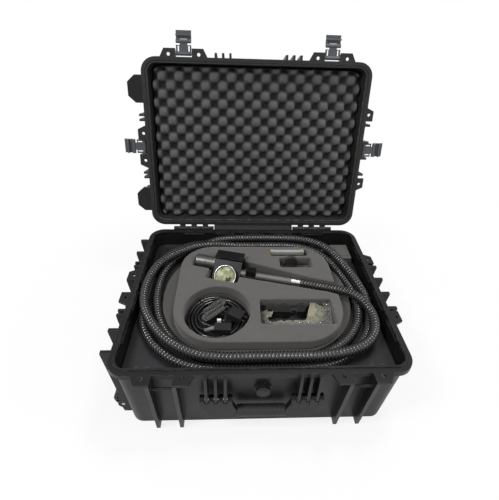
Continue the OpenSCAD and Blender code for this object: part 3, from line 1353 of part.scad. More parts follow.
module fan_rotor() color([0.15, 0.15, 0.16]) translate([fan_x, fan_y, in_z + fan_size / 2]) {
    translate([0, -rotor_shift, 0]) bar_y(fan_hub_d, fan_t - rotor_short);
    translate([0, fan_t / 2 - shaft_in, 0]) bar_y(fan_shaft_d, 2 * shaft_in);
    for (i = [0:fan_blades - 1]) rotate([0, 360 * i / fan_blades, 0])
        translate([fan_hub_d / 2 - over, -blade_front, -blade_t]) rotate([blade_tilt, 0, 0])
            cube([fan_bore / 2 - fan_hub_d / 2 - blade_gap, blade_len, blade_t]);
}

base_shell();
lid_shell();
lid_gasket();
lid_foam();
lid_bumpers();
hinge_pins();
latch_link(0);  // front_left_link
latch_lever(0);  // front_left_lever
latch_link(1);  // front_right_link
latch_lever(1);  // front_right_lever
latch_link(2);  // left_link
latch_lever(2);  // left_lever
latch_link(3);  // right_link
latch_lever(3);  // right_lever
latch_pins();
carry_handle();
handle_grip();
handle_pins();
pressure_valve();
wheel(-1);  // left_front_wheel
wheel(1);  // left_rear_wheel
wheel_axles();
pull_sleeves();
pull_tubes();
pull_grip();
deck_posts();
deck_panel();
deck_screws();
lower_foam();
island_foam();
connector_block();
hose_gland();
laser_hose();
hose_ferrule();
head_housing();
head_cover();
side_motor();
lens_barrel();
lens_glass();
grip_tube();
switch_housing();
trigger_button();
button_spring();
spare_lens_ring();
spare_lens_glass();
lens_case();
power_cable();
power_plug();
cable_connector();
sleeved_lead();
lead_tip();
goggles_frame();
goggles_lenses();
goggles_pouch();
chassis_plate();
laser_source();
power_supply();
control_board();
fan_frame();
fan_rotor();
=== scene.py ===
"""Looks of the pulse laser machine in its wheeled case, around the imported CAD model, in metres."""
import math

import bpy
from mathutils import Euler, Matrix, Vector, noise


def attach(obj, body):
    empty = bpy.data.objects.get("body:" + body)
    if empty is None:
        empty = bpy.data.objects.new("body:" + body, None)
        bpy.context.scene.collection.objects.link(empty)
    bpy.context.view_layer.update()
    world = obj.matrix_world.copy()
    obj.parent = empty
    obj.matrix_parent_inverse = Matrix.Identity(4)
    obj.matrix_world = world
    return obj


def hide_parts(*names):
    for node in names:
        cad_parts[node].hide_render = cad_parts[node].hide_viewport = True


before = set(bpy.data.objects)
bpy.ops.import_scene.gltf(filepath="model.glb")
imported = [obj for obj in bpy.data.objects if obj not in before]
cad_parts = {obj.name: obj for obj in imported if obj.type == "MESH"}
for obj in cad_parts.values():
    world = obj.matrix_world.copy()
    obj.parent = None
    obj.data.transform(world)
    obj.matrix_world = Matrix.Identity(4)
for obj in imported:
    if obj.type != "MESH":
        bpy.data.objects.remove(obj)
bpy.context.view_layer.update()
MM = 0.001
scene = bpy.context.scene

# Sizes that repeat the part's, in millimetres and degrees
LID_OPEN = 97.5
HINGE = Vector((0, 258.5, 201))
DECK_Z, TIER_Z, SEAT_GAP = 160, 173, 0.3
HOSE_D, CABLE_D = 23, 7.5
GUN_X, GUN_Y, GUN_TURN, HEAD_TILT = -44, 68, -13.7, 45
GUN_Z = TIER_Z + SEAT_GAP + HOSE_D / 2
FERRULE_END = 165

# Camera, in metres and degrees
CAMERA_AT, CAMERA_TURN = (-0.0639, -0.6998, 0.8695), (60.492, -1.964, -2.216)
CAMERA_LENS, CAMERA_SENSOR = 26.35, 36
CAMERA_SHIFT, CAMERA_CLIP = (-0.0050, -0.1118), (0.01, 50)


def add_object(name, data):
    obj = bpy.data.objects.new(name, data)
    scene.collection.objects.link(obj)
    return obj


def make_camera():
    data = bpy.data.cameras.new("camera")
    data.lens, data.sensor_width = CAMERA_LENS, CAMERA_SENSOR
    data.shift_x, data.shift_y = CAMERA_SHIFT
    data.clip_start, data.clip_end = CAMERA_CLIP
    camera = add_object("camera", data)
    camera.location = CAMERA_AT
    camera.rotation_euler = Euler([math.radians(angle) for angle in CAMERA_TURN])
    scene.camera = camera


# Curves and meshes
def in_metres(points):
    return [Vector(p) * MM for p in points]


def smooth(points, steps):
    """Catmull-Rom points, as the part's source makes them."""
    out = []
    last = len(points) - 1
    for i in range(last):
        a, b = points[max(i - 1, 0)], points[i]
        c, d = points[i + 1], points[min(i + 2, last)]
        for j in range(steps):
            t = j / steps
            out.append(0.5 * (2 * b + (c - a) * t + (2 * a - 5 * b + 4 * c - d) * t * t
                              + (3 * b - a - 3 * c + d) * t * t * t))
    return out + [points[last]]


def resample(points, step):
    """Points at an even spacing close to step along a polyline."""
    runs = [0.0]
    for a, b in zip(points, points[1:]):
        runs.append(runs[-1] + (b - a).length)
    count = max(2, round(runs[-1] / step))
    out, k = [], 0
    for i in range(count + 1):
        s = runs[-1] * i / count
        while k < len(runs) - 2 and runs[k + 1] < s:
            k += 1
        t = (s - runs[k]) / max(runs[k + 1] - runs[k], 1e-9)
        out.append(points[k].lerp(points[k + 1], min(max(t, 0), 1)))
    return out


def set_smooth(mesh, smoothed=True):
    mesh.polygons.foreach_set("use_smooth", [smoothed] * len(mesh.polygons))


def mesh_object(name, verts, faces, paint, body, smoothed=True, uvs=None):
    """A piece from points in metres. uvs: one pair for each point, the mesh's run."""
    mesh = bpy.data.meshes.new(name)
    mesh.from_pydata([tuple(v) for v in verts], [], faces)
    mesh.validate()
    if uvs is not None:
        layer = mesh.uv_layers.new(name="run")
        for loop in mesh.loops:
            layer.data[loop.index].uv = uvs[loop.vertex_index]
    set_smooth(mesh, smoothed)
    obj = add_object(name, mesh)
    mesh.materials.append(paint)
    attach(obj, body)
    return obj


def tube(name, points, radius_at, sides, paint, body):
    """A solid tube along points in metres. radius_at(s) gives the radius at a run of s metres."""
    verts, faces, uvs = [], [], []
    tangents = []
    for i in range(len(points)):
        a, b = points[max(i - 1, 0)], points[min(i + 1, len(points) - 1)]
        tangents.append((b - a).normalized())
    side = tangents[0].cross(Vector((0, 0, 1)))
    if side.length < 1e-4:
        side = tangents[0].cross(Vector((1, 0, 0)))
    side.normalize()
    s = 0.0
    for i, (p, t) in enumerate(zip(points, tangents)):
        if i:
            s += (p - points[i - 1]).length
        side = (side - t * side.dot(t)).normalized()
        up = t.cross(side)
        r = radius_at(s)
        for k in range(sides):
            a = 2 * math.pi * k / sides
            verts.append(p + r * (math.cos(a) * side + math.sin(a) * up))
            uvs.append((k / sides, s))
    n = len(points)
    for i in range(n - 1):
        for k in range(sides):
            a, b = i * sides + k, i * sides + (k + 1) % sides
            faces.append((a, b, b + sides, a + sides))
    faces.append(tuple(range(sides - 1, -1, -1)))
    faces.append(tuple((n - 1) * sides + k for k in range(sides)))
    return mesh_object(name, verts, faces, paint, body, uvs=uvs)


def grid_rim(cols, rows):
    """The outer points of a grid of cols by rows cells, in order around it."""
    n = cols + 1
    rim = list(range(cols)) + [cols + j * n for j in range(rows)]
    return rim + [rows * n + i for i in range(cols, 0, -1)] + [j * n for j in range(rows, 0, -1)]


def turned(angle):
    return Vector((math.cos(math.radians(angle)), math.sin(math.radians(angle)), 0))


def opened(p):
    """A point of the closed lid, in millimetres, in its open place."""
    return HINGE + Matrix.Rotation(math.radians(-LID_OPEN), 3, "X") @ (Vector(p) - HINGE)


# Nodes of the materials
TEXTURES = {
    "cells": ("ShaderNodeTexVoronoi", "Distance", {"feature": "F1"}),
    "crackle": ("ShaderNodeTexVoronoi", "Distance", {"feature": "DISTANCE_TO_EDGE"}),
    "waves": ("ShaderNodeTexWave", "Fac", {"Distortion": 1.0, "Detail": 1.0}),
    "noise": ("ShaderNodeTexNoise", "Fac", {"Roughness": 0.6}),
}
MIX_A, MIX_B, MIX_COLOUR = 6, 7, 2
ACROSS, ALONG = 0, 1
BROAD, EDGE_TURN, EDGE_PATCH, GROOVE = (0.3, 0.7), (0.995, 0.86), (0.42, 0.62), (0.5, -0.3)


def add_node(tree, kind, **values):
    """A new node; each value goes to the input of that name, or else to the setting."""
    node = tree.nodes.new(kind)
    for key, value in values.items():
        if key in node.inputs:
            node.inputs[key].default_value = value
        else:
            setattr(node, key, value)
    return node


def feed(tree, socket, value):
    """Gives an input a plain value, or a link from an output."""
    if isinstance(value, bpy.types.NodeSocket):
        tree.links.new(value, socket)
    else:
        socket.default_value = value


def calculate(tree, operation, *values):
    """The result of a math node on outputs or plain numbers."""
    node = add_node(tree, "ShaderNodeMath", operation=operation)
    for socket, value in zip(node.inputs, values):
        feed(tree, socket, value)
    return node.outputs[0]


def measure(tree, operation, *vectors):
    """The number that a vector node gives for vector outputs."""
    node = add_node(tree, "ShaderNodeVectorMath", operation=operation)
    for socket, vector in zip(node.inputs, vectors):
        feed(tree, socket, vector)
    return node.outputs["Value"]


def coords(tree, scale=(1, 1, 1), uv=False):
    """Object coordinates, or the mesh's run, times a scale."""
    out = add_node(tree, "ShaderNodeTexCoord").outputs["UV" if uv else "Object"]
    if scale == (1, 1, 1):
        return out
    node = add_node(tree, "ShaderNodeMapping", Scale=scale)
    tree.links.new(out, node.inputs["Vector"])
    return node.outputs["Vector"]


def one_axis(tree, vector, axis):
    split = add_node(tree, "ShaderNodeSeparateXYZ")
    tree.links.new(vector, split.inputs[0])
    return split.outputs[axis]


def texture(tree, kind, scale, stretch=(1, 1, 1), uv=False, detail=4):
    """One grey texture of a kind in TEXTURES."""
    node_kind, output, settings = TEXTURES[kind]
    node = add_node(tree, node_kind, Scale=scale, **settings)
    if kind == "noise":
        node.inputs["Detail"].default_value = detail
    tree.links.new(coords(tree, stretch, uv), node.inputs["Vector"])
    return node.outputs[output]


def ramp(tree, source, low, high, a=0.0, b=1.0):
    """Goes from a at low to b at high, and holds both ends."""
    ends = {"From Min": low, "From Max": high, "To Min": a, "To Max": b}
    node = add_node(tree, "ShaderNodeMapRange", **ends)
    tree.links.new(source, node.inputs["Value"])
    return node.outputs["Result"]


def blend_colour(tree, factor, a, b):
    """Mixes two colours, or outputs, by a factor output."""
    node = add_node(tree, "ShaderNodeMix", data_type="RGBA")
    tree.links.new(factor, node.inputs["Factor"])
    for key, value in ((MIX_A, a), (MIX_B, b)):
        plain = not isinstance(value, bpy.types.NodeSocket)
        feed(tree, node.inputs[key], (*value, 1) if plain else value)
    return node.outputs[MIX_COLOUR]


def worn_and_highlit_edges(tree, radius):
    """A normal that rounds the edges, and how far each place of an edge is lightened, partly as wear and
    partly as a painted highlight.
    """
    rounded = add_node(tree, "ShaderNodeBevel", Radius=radius, samples=4).outputs["Normal"]
    flat = add_node(tree, "ShaderNodeNewGeometry").outputs["Normal"]
    bend = ramp(tree, measure(tree, "DOT_PRODUCT", rounded, flat), *EDGE_TURN)
    patch = ramp(tree, texture(tree, "noise", 60, detail=6), *EDGE_PATCH)
    return rounded, calculate(tree, "MULTIPLY", bend, patch)


# Materials
def grey(value):
    return (value, value, value)


def new_material(name):
    """A material, its nodes and its shader."""
    made = bpy.data.materials.new(name)
    made.use_nodes = True
    return made, made.node_tree, made.node_tree.nodes["Principled BSDF"]


def material(name, colour, rough=0.5, metal=0.0, vary=0.15, vary_scale=9, spots=(), bumps=(), edge=None,
             spread=0.06, shader=None, bands=(), depth=None, ribs=None):
    """A procedural material, whose colour and roughness vary a little by a broad noise.
    spots: (texture kind, scale, low, high, colour, ...) painted over it.
    bands: (low, high, axis, colour) painted where the place on that axis goes from low to high.
    depth: (low, high, colour) by the first value of the mesh's run, used for a painted shade in hollows.
    edge: (radius, colour) for rounded, lighter edges, partly wear and partly a painted highlight.
    ribs: (pitch, groove colour, groove roughness) along the mesh's run; the darker groove colour is a painted
    shade in the grooves.
    bumps: (texture kind, scale, strength, distance, ...).
    The dots are the texture's stretch and whether it follows the mesh's run.
    shader: plain values for the shader's own sockets."""
    made, tree, bsdf = new_material(name)
    broad = texture(tree, "noise", vary_scale, detail=5)
    darker, lighter = [c * (1 - vary) for c in colour], [c * (1 + vary) for c in colour]
    paint = blend_colour(tree, ramp(tree, broad, *BROAD), darker, lighter)
    for kind, scale, low, high, spot, *rest in spots:
        paint = blend_colour(tree, ramp(tree, texture(tree, kind, scale, *rest), low, high), paint, spot)
    for low, high, axis, band in bands:
        paint = blend_colour(tree, ramp(tree, one_axis(tree, coords(tree), axis), low, high), paint, band)
    # Hollows painted darker by the mesh's run: a painted shade.
    if depth:
        low, high, deep = depth
        run = one_axis(tree, coords(tree, uv=True), ACROSS)
        paint = blend_colour(tree, ramp(tree, run, low, high), paint, deep)
    normal = None
    # Lighter edges: partly wear, partly a painted highlight along them.
    if edge:
        normal, wear_and_highlight = worn_and_highlit_edges(tree, edge[0])
        paint = blend_colour(tree, wear_and_highlight, paint, edge[1])
    gloss = ramp(tree, broad, *BROAD, max(rough - spread, 0.02), min(rough + spread, 1))
    # Grooves between the ribs are painted darker: a painted shade in the hollows.
    if ribs:
        pitch, groove, groove_rough = ribs
        run = one_axis(tree, coords(tree, uv=True), ALONG)
        wave = calculate(tree, "COSINE", calculate(tree, "MULTIPLY", run, 2 * math.pi / pitch))
        paint = blend_colour(tree, ramp(tree, wave, *GROOVE), paint, groove)
        gloss = calculate(tree, "MAXIMUM", gloss, ramp(tree, wave, *GROOVE, 0.0, groove_rough))
    tree.links.new(paint, bsdf.inputs["Base Color"])
    tree.links.new(gloss, bsdf.inputs["Roughness"])
    bsdf.inputs["Metallic"].default_value = metal
    for kind, scale, strength, distance, *rest in bumps:
        bump = add_node(tree, "ShaderNodeBump", Strength=strength, Distance=distance)
        tree.links.new(texture(tree, kind, scale, *rest), bump.inputs["Height"])
        if normal is not None:
            tree.links.new(normal, bump.inputs["Normal"])
        normal = bump.outputs["Normal"]
    if normal is not None:
        tree.links.new(normal, bsdf.inputs["Normal"])
    for key, value in (shader or {}).items():
        bsdf.inputs[key].default_value = value
    return made


def glass(name, tint, rough=0.02, alpha=0.35, coat=1.0, spots=()):
    """Thin glass or film: partly clear, with a gloss on top. spots: (scale, low, high, colour) in it, as
    painted reflections.
    """
    made, tree, bsdf = new_material(name)
    tinted = ramp(tree, texture(tree, "noise", 35), *BROAD)
    paint = blend_colour(tree, tinted, [c * 0.9 for c in tint], tint)
    for scale, low, high, spot in spots:
        reflection_flecks = ramp(tree, texture(tree, "noise", scale, detail=2), low, high)
        paint = blend_colour(tree, reflection_flecks, paint, spot)
    tree.links.new(paint, bsdf.inputs["Base Color"])
    gloss = ramp(tree, texture(tree, "noise", 120), *BROAD, rough, rough + 0.06)
    tree.links.new(gloss, bsdf.inputs["Roughness"])
    values = {"Alpha": alpha, "IOR": 1.5, "Coat Weight": coat, "Coat Roughness": 0.02}
    for key, value in values.items():
        bsdf.inputs[key].default_value = value
    made.blend_method = "BLEND"
    return made


STIPPLE = [("noise", 950, 0.35, 0.0004), ("noise", 90, 0.15, 0.0004)]
PORES = [("cells", 900, 0.5, 0.0005), ("noise", 260, 0.35, 0.0006)]
DULL = {"Specular IOR Level": 0.25}
COPPER = (0.62, 0.42, 0.16)

# The lighter edge colours of these materials are partly wear and partly a painted highlight along the edges.
SKIN = material("case_skin", (0.008, 0.008, 0.0084), 0.4, vary=0.2, bumps=STIPPLE, shader=DULL,
                edge=(0.0014, (0.11, 0.11, 0.114)),
                spots=[("noise", 240, 0.66, 0.78, (0.026, 0.026, 0.027))])
RIM_SKIN = material("lid_skin", (0.02, 0.02, 0.021), 0.42, vary=0.2, bumps=STIPPLE, shader=DULL,
                    edge=(0.0016, (0.15, 0.15, 0.155)),
                    spots=[("noise", 240, 0.66, 0.78, (0.05, 0.05, 0.052))])
LATCH = material("latch_skin", (0.062, 0.067, 0.076), 0.4, vary=0.12, bumps=STIPPLE[:1],
                 edge=(0.0012, (0.13, 0.14, 0.15)))
RUBBER = material("rubber", grey(0.018), 0.72, bumps=[("noise", 700, 0.4, 0.0003)])
GRIP = material("grip_rubber", (0.02, 0.02, 0.021), 0.6, bumps=[("cells", 420, 0.4, 0.0004)],
                edge=(0.001, grey(0.06)))
STEEL = material("pin_steel", (0.5, 0.5, 0.51), 0.32, 1.0, vary=0.08,
                 bumps=[("noise", 400, 0.1, 0.0002, (1, 1, 14))])
TREAD = material("wheel_tread", grey(0.02), 0.6, bumps=[("noise", 500, 0.4, 0.0003)],
                 spots=[("noise", 70, 0.55, 0.75, (0.06, 0.058, 0.055))], edge=(0.001, grey(0.05)))
ALU = material("pull_aluminium", (0.55, 0.56, 0.58), 0.34, 1.0, vary=0.06,
               bumps=[("noise", 300, 0.12, 0.0002, (0.04, 1, 1))])
DECK = material("deck_sheet", (0.024, 0.024, 0.026), 0.36, vary=0.18, shader=DULL,
                bumps=[("noise", 600, 0.2, 0.0002)], spots=[("noise", 160, 0.64, 0.8, grey(0.07))])
SCREW = material("screw_black", (0.06, 0.06, 0.062), 0.35, 0.8, bumps=[("noise", 400, 0.2, 0.0002)],
                 edge=(0.0005, grey(0.25)))
FOAM = material("foam_top", (0.094, 0.09, 0.084), 0.95, vary=0.1, bumps=PORES,
                spots=[("noise", 700, 0.52, 0.7, (0.125, 0.12, 0.112)),
                       ("noise", 60, 0.56, 0.75, (0.08, 0.076, 0.07))],
                shader={"Sheen Weight": 0.25, "Sheen Roughness": 0.6, "Specular IOR Level": 0.2})
FOAM_LOW = material("foam_lower", (0.07, 0.066, 0.06), 0.95, vary=0.14, bumps=PORES,
                    spots=[("noise", 700, 0.52, 0.7, (0.095, 0.09, 0.084))],
                    shader={"Sheen Weight": 0.2, "Sheen Roughness": 0.6, "Specular IOR Level": 0.2})
# The lid foam's hollows and sides are painted near black: a painted shade in the egg-crate cells.
FOAM_LID = material("foam_lid", (0.08, 0.079, 0.078), 0.97, vary=0.08, bumps=PORES,
                    spots=[("noise", 800, 0.52, 0.7, (0.108, 0.107, 0.106))],
                    depth=(0.85, 0.28, (0.008, 0.0078, 0.0075)),
                    shader={"Sheen Weight": 0.3, "Sheen Roughness": 0.6, "Specular IOR Level": 0.15})
# The hose's grooves are painted near black, a painted shade between its ribs.
HOSE = material("hose_black", (0.009, 0.009, 0.0095), 0.15, vary=0.2, vary_scale=30,
                bumps=[("noise", 700, 0.06, 0.0002)], spots=[("noise", 30, 0.6, 0.8, grey(0.02))],
                shader={"Specular IOR Level": 0.85}, ribs=(0.008, grey(0.0015), 0.8))
CABLE = material("cable_black", (0.008, 0.008, 0.0085), 0.2, vary=0.2, vary_scale=30,
                 bumps=[("noise", 900, 0.1, 0.0001)],
                 shader={"Specular IOR Level": 0.45, "Coat Weight": 0.3})
RELIEF = material("relief_grey", (0.16, 0.16, 0.155), 0.45, bumps=[("noise", 900, 0.2, 0.0001)])
PLUG = material("plug_black", grey(0.016), 0.42, shader=DULL, bumps=[("noise", 900, 0.3, 0.0002)],
                edge=(0.001, grey(0.07)))
HEAD_BLACK = material("head_anodised", (0.012, 0.012, 0.0125), 0.36, 0.2, vary=0.15, shader=DULL,
                      bumps=[("noise", 900, 0.12, 0.0001)], edge=(0.0007, grey(0.2)))
HEAD_GREY = material("head_grey", (0.11, 0.11, 0.108), 0.38, 0.6, vary=0.1,
                     bumps=[("noise", 500, 0.12, 0.0001, (0.05, 1, 1))], edge=(0.0006, grey(0.3)))
TUBE_GREY = material("tube_grey", (0.135, 0.135, 0.132), 0.5, 0.3, vary=0.08,
                     bumps=[("noise", 700, 0.15, 0.0001)])
BRIGHT = material("turned_aluminium", (0.62, 0.62, 0.58), 0.3, 1.0, vary=0.08,
                  bumps=[("noise", 400, 0.15, 0.0001, (0.05, 1, 1))])
SWITCH = material("switch_black", grey(0.01), 0.3, shader=DULL, bumps=[("noise", 900, 0.1, 0.0001)],
                  edge=(0.0006, grey(0.08)))
BOX_GREY = material("box_grey", (0.11, 0.11, 0.105), 0.5, 0.2, vary=0.1,
                    bumps=[("noise", 900, 0.35, 0.0002)], edge=(0.0008, (0.22, 0.22, 0.21)))
# Below 0.19 m the lens case is painted near black: a painted shade on its lower, front side. The copper bands
# are its metal ends.
LENS_CASE = material("lens_case", (0.42, 0.42, 0.4), 0.34, 0.2, vary=0.1,
                     bumps=[("noise", 500, 0.1, 0.0001)], edge=(0.0006, (0.5, 0.48, 0.4)),
                     bands=[(0.1413, 0.1417, 0, COPPER), (0.0487, 0.0483, 0, COPPER),
                            (0.192, 0.1905, 2, grey(0.012))])
# The ring's pale edge colour is a painted highlight on its two arcs.
RING = material("ring_black", grey(0.085), 0.26, 0.5, bumps=[("noise", 600, 0.1, 0.0001, (1, 0.05, 1))],
                edge=(0.0009, grey(0.5)))
LENS_RIM = material("rim_silver", (0.36, 0.37, 0.37), 0.26, 1.0, vary=0.12,
                    bumps=[("noise", 400, 0.1, 0.0001)])
WHITE = material("tip_white", (0.78, 0.78, 0.75), 0.4, vary=0.04, bumps=[("noise", 600, 0.1, 0.0001)])
SOURCE = material("source_black", (0.03, 0.03, 0.032), 0.5, 0.4, bumps=[("noise", 800, 0.2, 0.0002)],
                  edge=(0.001, grey(0.1)))
SUPPLY = material("supply_metal", (0.55, 0.55, 0.56), 0.38, 1.0, vary=0.08,
                  bumps=[("noise", 200, 0.1, 0.0002, (0.05, 1, 1))])
BOARD = material("board_green", (0.015, 0.12, 0.045), 0.45, vary=0.15,
                 spots=[("crackle", 180, 0.02, 0.0, (0.35, 0.3, 0.12))],
                 bumps=[("crackle", 180, 0.2, 0.0002)])
GOGGLE = material("goggle_black", grey(0.006), 0.16, bumps=[("noise", 500, 0.04, 0.0001)],
                  shader={"Coat Weight": 0.4, "Coat Roughness": 0.05, "Specular IOR Level": 0.4})
DARK_LENS = material("dark_lens", (0.004, 0.006, 0.004), 0.06, vary=0.1, spread=0.02,
                     shader={"Coat Weight": 0.25, "Coat Roughness": 0.03, "Specular IOR Level": 0.25})
CLOTH = material("pouch_cloth", (0.27, 0.25, 0.185), 0.9, vary=0.22, vary_scale=30,
                 bumps=[("waves", 900, 0.25, 0.0002), ("waves", 900, 0.25, 0.0002, (0.2, 1, 0.2)),
                        ("noise", 120, 0.3, 0.0008)],
                 spots=[("noise", 40, 0.5, 0.7, (0.15, 0.165, 0.12))], shader={"Sheen Weight": 0.2})
SLEEVE = material("sleeve_weave", grey(0.014), 0.38, vary=0.2, vary_scale=60,
                  spots=[("waves", 1.0, 0.82, 0.95, (0.35, 0.35, 0.34), (8, 420, 1), True)],
                  bumps=[("waves", 1.0, 0.8, 0.0006, (12, 300, 1), True)])
# The light and dark flecks in the lens glass are painted reflections.
LENS = glass("lens_clear", (0.34, 0.36, 0.19), alpha=0.82, coat=0.3,
             spots=[(42, 0.46, 0.56, (0.62, 0.63, 0.44)), (60, 0.55, 0.64, (0.03, 0.035, 0.02)),
                    (75, 0.6, 0.68, (0.85, 0.66, 0.2))])
SPARE = glass("spare_clear", (0.03, 0.03, 0.028), alpha=0.55, coat=0.1)
FILM = glass("clear_film", (0.3, 0.3, 0.29), rough=0.12, alpha=0.34)

NODE_MATERIALS = {
    SKIN: ["base_shell", "carry_handle", "lid_bumpers"], RIM_SKIN: ["lid_shell"],
    LATCH: ["front_left_link", "front_right_link", "left_link", "right_link", "front_left_lever",
            "front_right_lever", "left_lever", "right_lever"],
    RUBBER: ["lid_gasket"], GRIP: ["handle_grip", "pull_grip"],
    STEEL: ["hinge_pins", "latch_pins", "handle_pins", "wheel_axles", "button_spring"],
    TREAD: ["left_front_wheel", "left_rear_wheel"],
    PLUG: ["pressure_valve", "power_plug", "cable_connector"],
    ALU: ["pull_sleeves", "pull_tubes", "chassis_plate"],
    DECK: ["deck_panel", "deck_posts"], SCREW: ["deck_screws"],
    BOX_GREY: ["connector_block"], BRIGHT: ["hose_gland", "hose_ferrule"],
    HEAD_BLACK: ["head_housing", "head_cover", "lens_barrel"], HEAD_GREY: ["side_motor"],
    TUBE_GREY: ["grip_tube"], SWITCH: ["switch_housing", "trigger_button"],
    LENS: ["lens_glass"], SPARE: ["spare_lens_glass"], RING: ["spare_lens_ring"],
    LENS_CASE: ["lens_case"], WHITE: ["lead_tip"],
    GOGGLE: ["goggles_frame"], DARK_LENS: ["goggles_lenses"],
    SOURCE: ["laser_source", "fan_frame", "fan_rotor"], SUPPLY: ["power_supply"], BOARD: ["control_board"],
}
FLAT_NODES = ("base_shell", "lid_shell")
SMOOTH_ANGLE = math.radians(35)


def dress_nodes():
    """Gives each visible node its material, and smooth sides between its sharp edges."""
    for paint, names in NODE_MATERIALS.items():
        for name in names:
            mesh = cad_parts[name].data
            mesh.materials.clear()
            mesh.materials.append(paint)
            mesh.polygons.foreach_set("material_index", [0] * len(mesh.polygons))
            if name not in FLAT_NODES:
                set_smooth(mesh)
                mesh.set_sharp_from_angle(angle=SMOOTH_ANGLE)


# Hose, from the gun round the case to the connector block
HOSE_POINTS = [
    (180, 12, 185), (213, -2, 190), (240, -19, 195), (262, -46, 196), (272, -80, 196), (271, -112, 196),
    (258, -145, 196), (230, -173, 196), (185, -192, 196), (124, -201, 196), (60, -202, 196), (0, -202, 196),
    (-88, -202, 196), (-150, -190, 196), (-205, -158, 196), (-242, -118, 196), (-270, -72, 196),
    (-283, -25, 196), (-284, 25, 196), (-273, 75, 197), (-250, 113, 198), (-212, 145, 199), (-170, 168, 200),
    (-125, 178.5, 198), (-80, 186, 190), (-40, 187, 187), (50, 188, 187), (105, 186, 187), (151, 175, 187),
    (190, 152, 184), (217, 124, 179), (236, 88, 174), (248, 50, 172), (254, 15, 172), (255, -20, 172),
    (251, -58, 172), (240, -90, 172), (222, -118, 172), (196, -146, 172), (162, -169, 172),
    (115, -186, 172), (60, -191, 172), (0, -191, 172), (-60, -191, 172), (-118, -186, 172),
    (-172, -162, 172), (-216, -118, 172), (-241, -70, 172), (-254, -20, 172), (-258, 25, 172),
    (-256, 70, 172), (-245, 112, 172), (-224, 148, 172), (-190, 176, 175), (-150, 195, 184),
    (-126, 202.5, 190.5), (-100, 208, 195), (-50, 213, 196), (40, 215, 196), (110, 213, 196), (155, 203, 198),
    (196, 180, 199), (224, 147, 198), (242, 106, 197), (257, 62, 195), (271, 18, 190), (280, -22, 181),
    (277, -62, 173), (266, -98, 172), (252, -125, 172), (230, -152, 172), (200, -178, 172), (160, -200, 172),
    (110, -212, 172), (40, -215, 172), (-60, -215, 172), (-130, -210, 172), (-188, -190, 172),
    (-238, -150, 172), (-268, -102, 172), (-281, -50, 172), (-284, 0, 172), (-284, 50, 172), (-279, 95, 172),
    (-265, 136, 172), (-240, 173, 172), (-200, 203, 172), (-150, 217, 172), (-80, 218.5, 172),
    (0, 218.5, 172), (60, 218, 172), (100, 214, 172), (135, 205, 172), (160, 194, 173), (178, 186, 174)]
HOSE_END = Vector((222.167, 180.083, 174.5))
HOSE_PITCH, RINGS_PER_RIB, GROOVE_DEPTH, GROOVE_POWER = 8.0 * MM, 6, 1.7 * MM, 1.4


def make_hose():
    turn = math.radians(GUN_TURN)
    start = Vector((GUN_X + FERRULE_END * math.cos(turn), GUN_Y + FERRULE_END * math.sin(turn), GUN_Z))
    points = [start, start + turned(GUN_TURN) * HOSE_D] + HOSE_POINTS
    points += [HOSE_END - Vector((HOSE_D, 0, 0)), HOSE_END]
    line = smooth(in_metres(points), 8)
    fine = resample(line, HOSE_PITCH / RINGS_PER_RIB)
    crest = HOSE_D / 2 * MM

    def radius(s):
        wave = 0.5 + 0.5 * math.cos(2 * math.pi * s / HOSE_PITCH)
        return crest - GROOVE_DEPTH * (1 - wave) ** GROOVE_POWER

    path = list(reversed(resample(line, 0.01)))
    hose = tube("hose", list(reversed(fine)), radius, 20, HOSE, "case")
    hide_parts("laser_hose")


# Power cable: three turns outwards, up, and back inwards over them
PIT = Vector((-100, -77, 0))
COIL_IN, COIL_STEP, COIL_START, TURN_RINGS = 44, 8.3, 30, 24
COIL_OUT, COIL_RISE, COIL_BACK = 3 * TURN_RINGS, TURN_RINGS / 4, 2.25 * TURN_RINGS
CABLE_Z = DECK_Z + SEAT_GAP + CABLE_D / 2
COIL_TOP = CABLE_Z + COIL_STEP + CABLE_D / 2
CABLE_SPACING = 0.0025
CABLE_RELIEF, PLUG_RELIEF = (11, 5.2, 1.3), (10, 5.0, 1.1)
PLUG_AT, PLUG_TURN, PLUG_LEN = Vector((-54, -81, COIL_TOP + SEAT_GAP)), -31, 35
CONN_AT, CONN_TURN, CONN_LEN, CONN_H = Vector((-85, -120, COIL_TOP + SEAT_GAP)), -3, 38, 17
PLUG_WAY = [(-88, -60, 178), (-100, -56, 174), (-114, -58, 171), (-124, -69, 168), (-126, -84, 166),
            (-118, -99, 165), (-102, -107, 164), (-84, -107, 164), (-70, -97, 164), (-62.5, -81, 164)]
CONN_WAY = [(-137.5, -108.5, 173.2), (-129.6, -114.8, 176), (-120.4, -118.8, 180.5)]


def coil_point(ring):
    """A point of the wound cable; ring counts from its inner end, TURN_RINGS to a turn."""
    a = math.radians(COIL_START + 360 * ring / TURN_RINGS)
    out = min(ring, COIL_OUT) / TURN_RINGS
    back = max(ring - COIL_OUT - COIL_RISE, 0) / TURN_RINGS
    up = min(max(ring - COIL_OUT, 0), COIL_RISE) / COIL_RISE
    r = COIL_IN + COIL_STEP * (out - back)
    return Vector((PIT.x + r * math.cos(a), PIT.y + r * math.sin(a), CABLE_Z + COIL_STEP * up))


def make_relief(name, points, sizes, paint):
    """A tapered sleeve over the first points of a cable. sizes: (points, first radius, what it loses)."""
    count, root, taper = sizes
    span = (count - 1) * CABLE_SPACING
    relief = tube(name, points[:count], lambda s: (root - taper * s / span) * MM, 20, paint, "case")
    return relief


